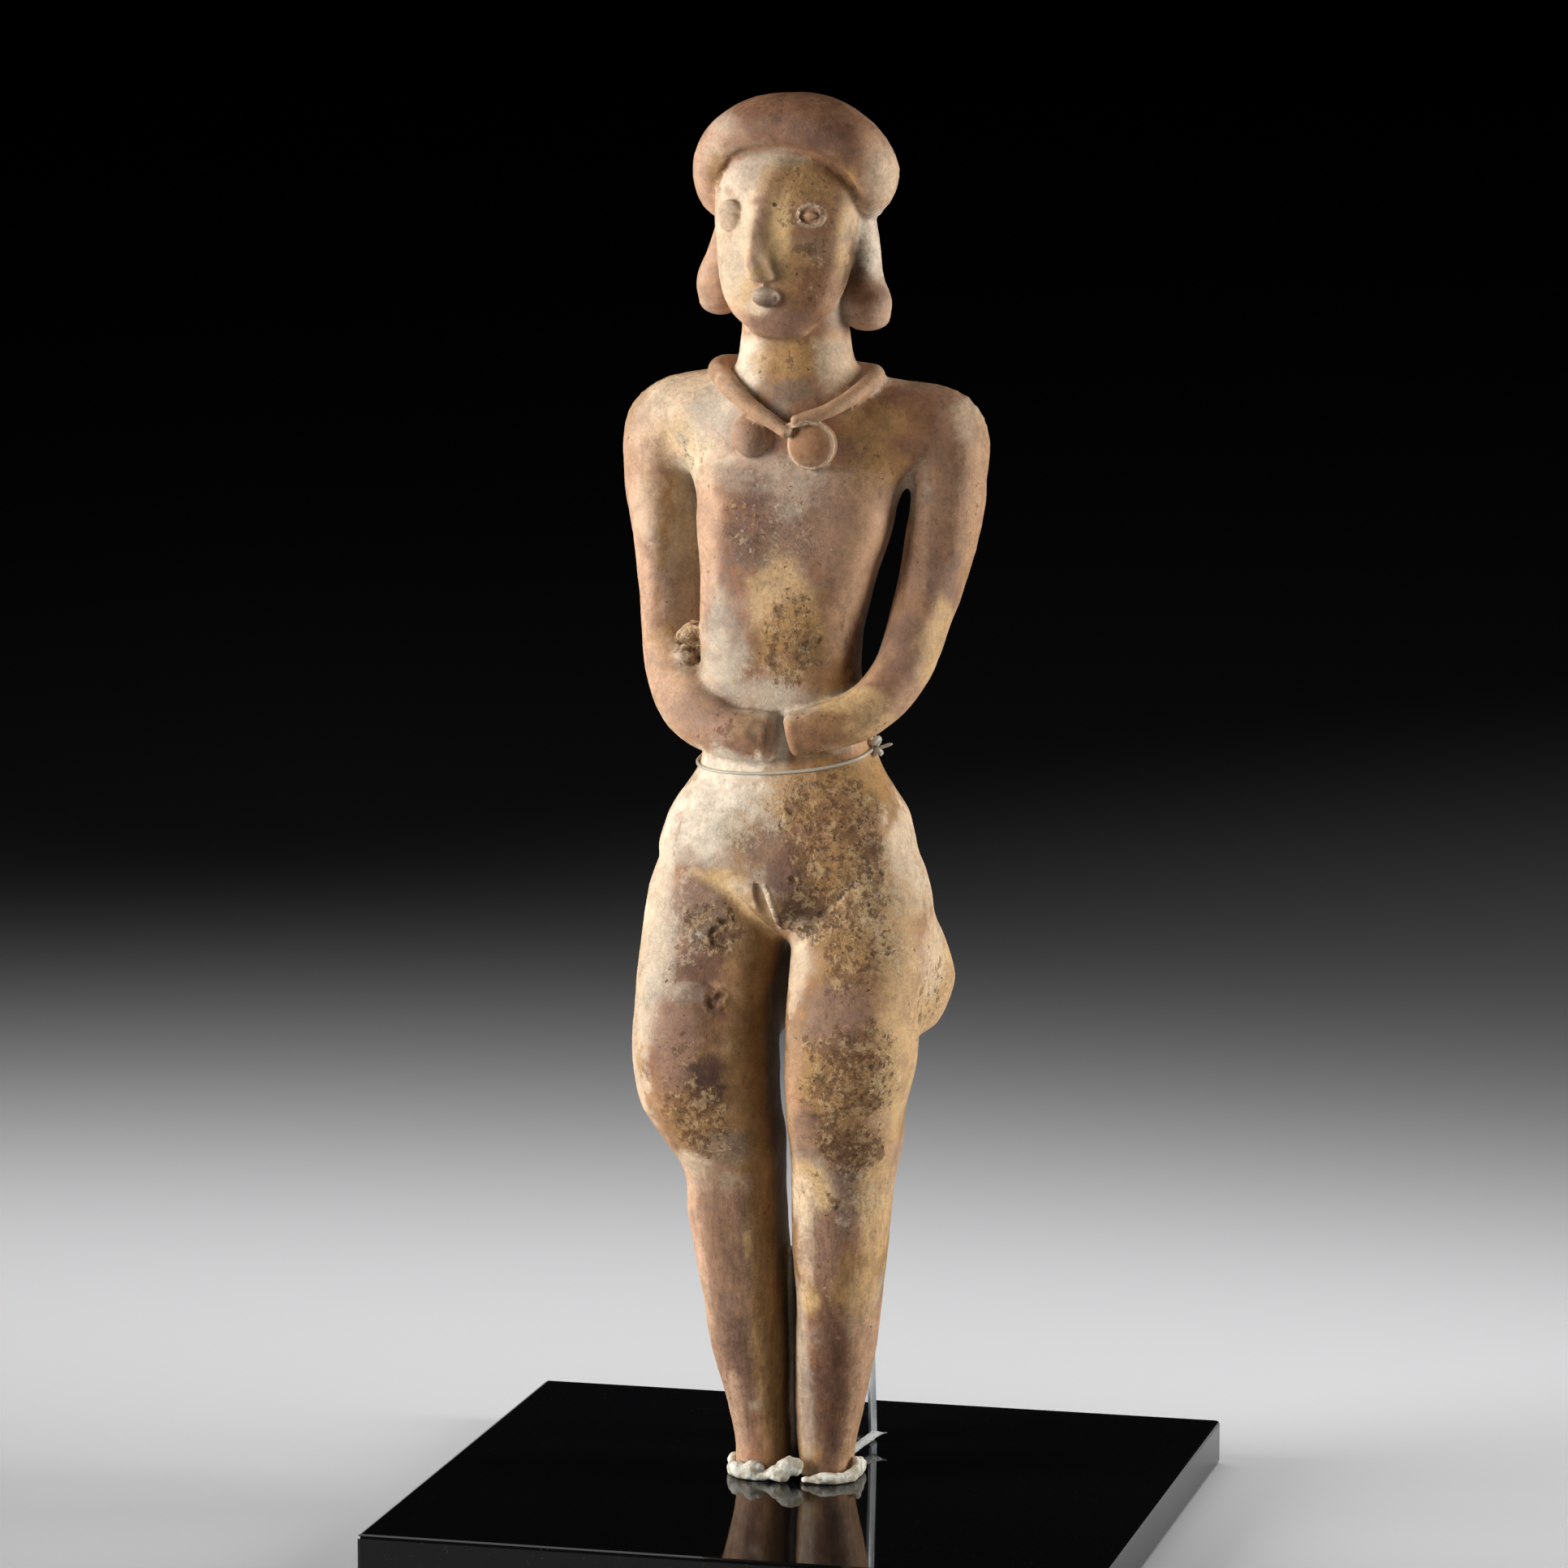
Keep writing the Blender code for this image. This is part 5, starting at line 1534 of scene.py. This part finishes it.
def clay_material():
    """Worn slip on fired clay, with mineral specks and veins, pale crust and scrapes."""
    made = Nodes("fired_clay_worn")
    made.plain(Specular_IOR_Level=0.3)
    places = made.places()
    specks = made.share("specks")
    broad = made.step(made.noise(places, 5.0, 4.0), 0.34, 0.66)
    mottle = made.step(made.noise(places, 1.1, 4.0, 0.65), 0.32, 0.68)
    grain = made.step(made.noise(places, 0.5, 3.0), 0.32, 0.68)
    streak = made.step(made.noise(made.places((1.0, 1.0, 0.15)), 0.9, 4.0), 0.32, 0.68)

    ragged = made.step(made.noise(places, 3.2, 5.0, 0.68), 0.42, 0.58)
    colour = made.tint(ragged, made.share("tone", "Color"), made.share("other_tone", "Color"))
    warm = made.step(made.noise(places, 3.1, 4.0, 0.65), 0.54, 0.68)
    colour = made.layer(colour, (0.46, 0.25, 0.08), warm, 0.15)
    rosy = made.step(made.noise(places, 5.5, 3.0), 0.50, 0.66)
    colour = made.layer(colour, (0.42, 0.20, 0.12), rosy, 0.18)

    worn = made.total(made.spread(mottle, -0.17, 0.19), made.spread(grain, -0.10, 0.12))
    worn = made.math("MULTIPLY", worn, made.spread(specks, 0.55, 1.15))
    scraped = made.math("MULTIPLY", made.spread(streak, -0.14, 0.12), made.share("streaks"))
    light = made.total(made.spread(broad, 0.84, 1.12), worn, scraped)
    colour = made.brighten(colour, light)

    noise = made.noise(places, 2.0, 6.0, 0.78)
    crust = made.crowded(noise, made.share("crust"), (-0.20, 0.04), 0.50, 0.62)
    colour = made.layer(colour, (0.66, 0.52, 0.36), crust, 0.45)

    noise = made.noise(places, 5.0, 7.0, 0.74)
    stain = made.crowded(noise, specks, (-0.20, 0.03), 0.50, 0.57)
    colour = made.layer(colour, (0.13, 0.060, 0.024), stain, 0.68)

    noise = made.noise(places, 2.6, 5.0, 0.7)
    flecks = made.crowded(noise, specks, (-0.16, 0.02), 0.52, 0.60)
    flecks = made.math("MULTIPLY", flecks, made.step(specks, 0.4, 0.7))
    colour = made.layer(colour, (0.60, 0.40, 0.20), flecks, 0.5)

    noise = made.noise(places, 1.6, 5.0, 0.7)
    speck = made.crowded(noise, specks, (-0.19, 0.03), 0.53, 0.61)
    colour = made.layer(colour, (0.10, 0.043, 0.014), speck, 0.76)

    vein_off = made.math("SUBTRACT", made.noise(places, 2.4, 4.0, 0.65), 0.48)
    vein_off = made.math("ABSOLUTE", vein_off)
    vein_place = made.math("SUBTRACT", made.spread(specks, -0.025, 0.012), vein_off)
    colour = made.layer(colour, (0.09, 0.038, 0.012), made.step(vein_place, -0.005, 0.009), 0.6)

    pricks = made.step(made.noise(places, 0.8, 3.0, 0.6), 0.60, 0.70)
    colour = made.layer(colour, (0.13, 0.065, 0.03), pricks, made.spread(specks, 0.12, 0.40))

    dots = made.crowded(made.noise(places, 1.5, 2.0, 0.6), specks, (-0.12, 0.0), 0.65, 0.70)
    colour = made.layer(colour, (0.045, 0.021, 0.009), dots, 0.85)

    coarse = made.spread(made.noise(places, 1.3, 4.0, 0.6), 0.0, 0.5)
    height = made.total(coarse, made.spread(grain, 0.0, 0.10))
    raised = ((crust, 0.12), (scraped, 0.5), (flecks, 0.3), (stain, -0.3), (speck, -0.25))
    for share, amount in raised:
        height = made.total(height, made.math("MULTIPLY", share, amount))
    rough = made.spread(mottle, 0.5, 0.85)
    return made.finish(colour, rough, height, depth=0.0003, strength=0.7)


def black_acrylic_material():
    """Polished black acrylic with faint dust and wiping marks."""
    made = Nodes("black_acrylic_polished")
    made.plain(Base_Color=(*BLACK, 1.0), IOR=ACRYLIC_IOR, Specular_IOR_Level=0.3)
    places = made.places()
    smear = made.noise(made.places((0.3, 1.0, 1.0)), 14.0, 3.0)
    dust = made.step(made.noise(places, 0.8, 2.0), 0.66, 0.76)
    rough = made.total(made.spread(smear, 0.015, 0.07), made.math("MULTIPLY", dust, 0.08))
    return made.finish(made.layer(BLACK, (0.5, 0.5, 0.5), dust, 0.04), rough)


def clear_acrylic_material():
    """Clear acrylic, polished before and behind and frosted along its sawn sides."""
    made = Nodes("clear_acrylic_cut")
    made.plain(Base_Color=(0.93, 0.975, 0.985, 1.0), IOR=ACRYLIC_IOR, Transmission_Weight=1.0)
    wave = made.noise(made.places((1.0, 1.0, 0.2)), 9.0, 2.0)
    sawn = made.step(made.sideways(), 0.5, 0.8)
    marks = made.spread(made.noise(made.places((1.0, 1.0, 0.05)), 0.8, 3.0), 0.15, 0.6)
    rough = made.total(made.spread(wave, 0.01, 0.05), made.math("MULTIPLY", sawn, marks))
    return made.finish(None, rough, wave, depth=0.0001, strength=0.25)


def peg_material():
    """The clear rod, frosted by putty rubbed along it."""
    made = Nodes("clear_acrylic_rubbed")
    made.plain(IOR=ACRYLIC_IOR, Transmission_Weight=0.45, Specular_IOR_Level=0.7)
    rubbed = made.noise(made.places((1.0, 0.3, 1.0)), 1.2, 3.0)
    colour = made.tint(rubbed, (0.70, 0.71, 0.68), (0.96, 0.96, 0.93))
    return made.finish(colour, made.spread(rubbed, 0.12, 0.45), rubbed, strength=0.4)


def nylon_material():
    """Nylon line, milky and slightly twisted."""
    made = Nodes("nylon_line_milky")
    made.plain(Transmission_Weight=0.45, IOR=NYLON_IOR)
    fibre = made.noise(made.places((1.0, 1.0, 2.0)), 0.35, 2.0)
    colour = made.tint(fibre, (0.56, 0.50, 0.38), (0.84, 0.79, 0.67))
    rough = made.spread(fibre, 0.25, 0.5)
    return made.finish(colour, rough, fibre, depth=0.0001, strength=0.4)


def putty_material():
    """Museum putty, off-white and hand pressed, with a little dust in it."""
    made = Nodes("museum_putty_pressed")
    made.plain(Subsurface_Weight=0.15, Subsurface_Scale=0.002)
    places = made.places()
    pressed = made.noise(places, 1.4, 5.0, 0.65)
    hue = made.step(made.noise(places, 2.6, 3.0), 0.40, 0.60)
    dust = made.step(made.noise(places, 0.5, 3.0), 0.58, 0.72)
    colour = made.tint(hue, (0.52, 0.46, 0.34), (0.86, 0.83, 0.72))
    colour = made.layer(colour, (0.36, 0.31, 0.23), dust, 0.35)
    rough = made.spread(pressed, 0.45, 0.75)
    return made.finish(colour, rough, pressed, depth=0.0006, strength=0.8)


def floor_material():
    """Plain pale floor."""
    made = Nodes("floor")
    made.plain(Base_Color=(0.66, 0.66, 0.67, 1.0), Roughness=0.8)
    return made.material


# ---- the stand's small pieces -------------------------------------------------------

TIE_RADIUS = 0.33
KNOT_STEP = 0.35  # spacing of the rings along the knot
TIE_HEIGHT = 152.1  # above the soles, at the middle of the waist
TIE_SLOPE = 0.11  # it rises towards the figure's left
TIE_BEND = 0.003  # bends up at both sides
TIE_LEAN = 0.15  # and rises towards the back
TAPER = 0.55  # the upright's width at the tie, as a share of its width at its foot
WAIST_BAND = 0.7  # how near the tie's level the clay counts as the waist
CLEAR = 0.08  # the least space between pieces that touch
PUTTY_STEP = 0.45  # spacing of the putty's grid

# Strands of putty round the feet, in the figure's frame: x, y, z and half sizes.

PUTTY_RIGHT = [
    [
        (-7.6, 9, 0.8, 1.2, 1.3),
        (-11.6, 6, 0.6, 1, 0.9),
        (-13, 0.6, 0.8, 1.1, 1.1),
        (-12.6, -4.4, 0.9, 1.2, 1.2),
        (-10.6, -7.8, 0.9, 1.5, 1.3),
        (-7, -9, 1, 1.8, 1.4),
        (-3.8, -9, 0.6, 1.2, 0.9),
    ],
    [
        (-4, -9.2, 0.9, 1.2, 1),
        (-0.8, -9.2, 1.9, 1.5, 1.7),
        (1.6, -8.7, 3.2, 1.5, 2),
        (3, -8.2, 2.6, 1.2, 1.8),
    ],
]
PUTTY_LEFT = [
    [
        (9, 8.2, 0.8, 1.1, 1.2),
        (12.6, 5, 0.9, 1.1, 1.4),
        (13.6, 0.4, 1.6, 0.9, 1.9),
        (13.4, -4, 1, 1.1, 1.3),
        (11, -7.4, 0.8, 1.2, 1.1),
        (7.4, -8.8, 0.7, 1.1, 0.95),
        (4.8, -9, 0.5, 0.8, 0.6),
    ],
]

# Lumps of putty: x, y, z and half sizes.

LUMPS_RIGHT = [
    (-13.2, -1.6, 1.9, 1.4, 2, 1.5),
    (-10.2, -8.2, 1.7, 1.8, 1.8, 1.6),
    (-6.6, -9, 2.1, 2.3, 1.9, 1.8),
    (-0.6, -9.4, 1, 1.9, 1.6, 1.2),
]
LUMPS_LEFT = [
    (13.6, -1, 2.4, 1, 1.8, 1.8),
    (9.4, -8.4, 1.1, 1.9, 1.3, 1),
]


# The putty: node, strands, lumps, and the corners of the grid that holds it.

PUTTY = (
    ("putty_right_foot", PUTTY_RIGHT, LUMPS_RIGHT, (-18.0, -13.0, -1.5), (6.0, 12.5, 7.5)),
    ("putty_left_foot", PUTTY_LEFT, LUMPS_LEFT, (2.0, -12.0, -1.5), (17.5, 11.5, 7.0)),
)


def putty_field(strands, pellets):
    """Strands with their lumps, pressed against the foot and the plate."""
    forms = [limb(strand, UPWARDS, caps=(0.8, 0.8), fillet=0.6) for strand in strands]
    forms += [ball(pellet, fillet=0.5) for pellet in pellets]

    def field(points):
        whole = together(forms, points)
        whole = whole + 0.30 * cloud(points, 2.0, 101, 2) + 0.12 * cloud(points, 0.8, 103, 2)
        foot = together(LEGS, points)
        whole = -join(-whole, foot - CLEAR, 0.4)
        return -join(-whole, points[:, 2] + 0.2, 0.2)

    return field


def make_putty(name, strands, pellets, low, high, finish):
    """One foot's putty, drawn out of its field between two corners."""
    field = putty_field(strands, pellets)
    mesh = net_mesh(field, low, high, PUTTY_STEP)
    points = settle(field, mesh_points(mesh))
    set_points(mesh, place_on_base(points))
    return add_piece(f"{name}_pressed", mesh, name, finish)


def tie_height(x, y):
    """Height of the tie at a place on the base."""
    return SOLE_HEIGHT + TIE_HEIGHT + TIE_SLOPE * x + TIE_BEND * x**2 + TIE_LEAN * y


def taut_loop(spots, clearance, step, sides=24):
    """The convex outline of flat points, grown by a clearance, in even steps."""
    turns = np.linspace(0.0, 2 * math.pi, sides, endpoint=False)
    ring = np.column_stack([np.cos(turns), np.sin(turns)]) * clearance
    grown = (spots[:, None, :] + ring[None]).reshape(-1, 2)
    hull = convex_hull_2d([Vector(spot) for spot in grown])
    outline = grown[hull]
    outline = np.vstack([outline, outline[:1]])
    _, along = path_lengths(outline)
    count = int(along[-1] / step)
    wanted = np.arange(count) * along[-1] / count
    return np.column_stack([np.interp(wanted, along, outline[:, i]) for i in (0, 1)])


def tie_path(figurine):
    """A taut loop round the waist and the upright."""
    points = mesh_points(figurine.data) / MM
    level = points[:, 2] - tie_height(points[:, 0], points[:, 1])
    spots = points[np.abs(level) < WAIST_BAND][:, :2]
    low, high = (np.array(corner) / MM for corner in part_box("stand_upright"))
    corners = np.array([(x, high[1]) for x in (low[0] * TAPER, high[0] * TAPER)])
    loop = taut_loop(np.vstack([spots, corners]), TIE_RADIUS + CLEAR, 1.0)
    for _ in range(2):
        loop = (np.roll(loop, 1, axis=0) + 2 * loop + np.roll(loop, -1, axis=0)) / 4
    return np.column_stack([loop, tie_height(loop[:, 0], loop[:, 1])])


NEARLY_UP = (0.13, 0.21, 0.97)  # no tube starts out this way


def tube(bm, path, radii, sides=10, closed=False):
    """A tube along a path, capped at its ends unless it is closed."""
    path = np.array(path, float)
    if closed:
        forward = np.roll(path, -1, axis=0) - np.roll(path, 1, axis=0)
    else:
        forward = np.gradient(path, axis=0)
    forward /= np.linalg.norm(forward, axis=1)[:, None]
    aside = np.cross(forward[0], NEARLY_UP)
    rings = []
    for centre, ahead, radius in zip(path, forward, radii):
        aside = aside - ahead * aside.dot(ahead)
        aside = aside / np.linalg.norm(aside)
        up = np.cross(ahead, aside)
        turns = np.arange(sides) * 2 * math.pi / sides
        spots = [
            centre + radius * (math.cos(turn) * aside + math.sin(turn) * up) for turn in turns
        ]
        rings.append([bm.verts.new(spot) for spot in spots])
    pairs = list(zip(rings, rings[1:]))
    if closed:
        pairs.append((rings[-1], rings[0]))
    for low, high in pairs:
        for i in range(sides):
            j = (i + 1) % sides
            bm.faces.new((low[i], low[j], high[j], high[i]))
    if not closed:
        bm.faces.new(list(reversed(rings[0])))
        bm.faces.new(rings[-1])


def strand_radii(count, radius, tip=0.35):
    """Radii that close in over two steps at both ends of a strand."""
    share = np.minimum(np.arange(count), np.arange(count)[::-1]) / 2.0
    return radius * (tip + (1 - tip) * np.sqrt(np.clip(share, 0.0, 1.0)))


# The knot's two turns and its two cut ends, from the place where the line meets itself.
# Each goes with its radius.

KNOT_HIGH = [
    (-0.5, -0.9, 0.7),
    (0.4, -1.1, 1.5),
    (1, -0.2, 2),
    (0.8, 0.7, 1.3),
    (0.3, 0.3, 0.4),
    (0.9, -0.7, 0.7),
]
KNOT_LOW = [
    (0.4, -1.1, 0.2),
    (1.3, -0.9, -0.5),
    (1.4, 0.1, -1),
    (0.6, 0.6, -0.6),
    (0.3, -0.2, -1.2),
    (1, -0.9, -0.2),
]
LONG_END = [(0.9, -0.2, 0), (1.9, -0.5, 0.3), (2.9, -0.6, 0.7), (4, -0.5, 1)]
SHORT_END = [(0.8, -0.5, -0.4), (1.6, -1.1, -1), (1.7, -1.3, -1.5)]
KNOT = ((KNOT_HIGH, 0.62), (KNOT_LOW, 0.6), (LONG_END, 0.36), (SHORT_END, 0.36))


def make_tie(figurine, finish):
    """The nylon line with its knot at the waist's left side."""
    path = tie_path(figurine)
    bm = bmesh.new()
    tube(bm, path, np.full(len(path), TIE_RADIUS), closed=True)
    beside = path[path[:, 0].argmax()]
    for spots, radius in KNOT:
        line = smooth_rows([beside + np.array(spot) for spot in spots], KNOT_STEP)
        tube(bm, line, strand_radii(len(line), radius))
    bmesh.ops.scale(bm, vec=(MM, MM, MM), verts=bm.verts)
    return add_piece("waist_tie_line", mesh_from(bm, "line"), "waist_tie", finish)


PEG_STEPS = 34
PEG_SIDES = 16
PEG_RADIUS = 0.85
PEG_ROUNDING = 0.8  # the length over which its foot is rounded off
PEG_FOOT = (7.2, 11.6, 0.9)  # beside the left ankle, on the plate
PEG_HEAD = (9.6, 25.6, 2.3)  # just in front of the upright
PEG_BURR = (12.2, 26.3, 2.7)  # the pulled end past the upright's edge


def make_peg(finish):
    """The rod that leans from the left ankle on the upright, its end drawn out thin."""
    foot, head, tip = np.array(PEG_FOOT), np.array(PEG_HEAD), np.array(PEG_BURR)
    shaft = [foot + (head - foot) * i / PEG_STEPS for i in range(PEG_STEPS)]
    burr = smooth_rows([shaft[-1], head, 0.5 * (head + tip), tip], 0.3)
    path = np.vstack([shaft, burr[1:]])
    _, along = path_lengths(path)
    rounded = np.sqrt(np.clip(along / PEG_ROUNDING, 0.04, 1.0))
    left = (along[-1] - along) / np.linalg.norm(tip - head)
    drawn_out = 0.1 + 0.9 * ramp(left, 0.1, 1.1)
    wavy = 1 - 0.08 * np.sin(along * 1.7) * np.sin(along * 0.9)
    bm = bmesh.new()
    tube(bm, path, PEG_RADIUS * rounded * drawn_out * wavy, sides=PEG_SIDES)
    mesh = mesh_from(bm, "rod")
    set_points(mesh, place_on_base(mesh_points(mesh)))
    return add_piece("ankle_peg_rod", mesh, "ankle_peg", finish)


# ---- stage --------------------------------------------------------------------------

CAMERA_PLACE = (0.30503, -1.23338, 0.33682)
CAMERA_TURN = 14.08
CAMERA_TILT = 8.11
CAMERA_SENSOR = 36.0
CAMERA_LENS = 142.9
CAMERA_REACH = 50.0
FLOOR_SIZE = 12.0
FLOOR_MIDDLE = (0.0, 3.0, 0.0)

# Lights: name, place, what it looks at, size, watts, spread of its beam in degrees. They are
# a wide light from the figure's right, a weak fill, an edge light and one for the floor.

LIGHTS = (
    ("key", (-0.96, -0.50, 0.36), (0.0, 0.0, 0.17), (0.7, 0.6), 3.0, 60.0),
    ("front", (0.10, -1.5, 0.30), (0.0, 0.0, 0.15), (0.9, 0.35), 0.38, 60.0),
    ("edge", (0.86, 0.12, 0.3), (0.0, 0.0, 0.17), (0.3, 0.6), 1.4, 70.0),
    ("floor", (0.0, 0.18, 0.32), (0.0, 0.18, 0.0), (1.1, 0.22), 0.85, 122.0),
)


def make_floor():
    """A plain pale floor."""
    bpy.ops.mesh.primitive_plane_add(size=FLOOR_SIZE, location=FLOOR_MIDDLE)
    floor = bpy.context.object
    floor.name = "floor"
    floor.data.materials.append(floor_material())


def make_light(name, place, target, size, power, spread):
    """A soft rectangular light that looks at a point."""
    data = bpy.data.lights.new(name, "AREA")
    data.shape = "RECTANGLE"
    data.size, data.size_y = size
    data.energy = power
    data.spread = math.radians(spread)
    light = bpy.data.objects.new(name, data)
    light.location = place
    aim = Vector(target) - Vector(place)
    light.rotation_euler = aim.to_track_quat("-Z", "Y").to_euler()
    light.visible_camera = False
    bpy.context.scene.collection.objects.link(light)


def make_lights():
    """The lights, in a black world."""
    for light in LIGHTS:
        make_light(*light)
    world = bpy.data.worlds.new("world")
    world.use_nodes = True
    world.node_tree.nodes["Background"].inputs["Color"].default_value = (0.0, 0.0, 0.0, 1.0)
    bpy.context.scene.world = world
    bpy.context.scene.view_settings.view_transform = "Standard"


def make_camera():
    """The camera, at the angle from which the figurine is shown."""
    data = bpy.data.cameras.new("camera")
    data.sensor_width = CAMERA_SENSOR
    data.lens = CAMERA_LENS
    data.clip_end = CAMERA_REACH
    camera = bpy.data.objects.new("camera", data)
    camera.location = CAMERA_PLACE
    camera.rotation_euler = (math.radians(90.0 - CAMERA_TILT), 0.0, math.radians(CAMERA_TURN))
    bpy.context.scene.collection.objects.link(camera)
    bpy.context.scene.camera = camera


def dress_node(name, finish):
    """Gives a CAD node that stays a better material."""
    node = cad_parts[name]
    node.data.materials.clear()
    node.data.materials.append(finish)


def main():
    """Builds everything."""
    figurine = make_figurine(clay_material())
    dress_node("stand_base", black_acrylic_material())
    dress_node("stand_upright", clear_acrylic_material())
    make_tie(figurine, nylon_material())
    make_peg(peg_material())
    putty = putty_material()
    for row in PUTTY:
        make_putty(*row, putty)
    make_floor()
    make_camera()
    make_lights()


main()
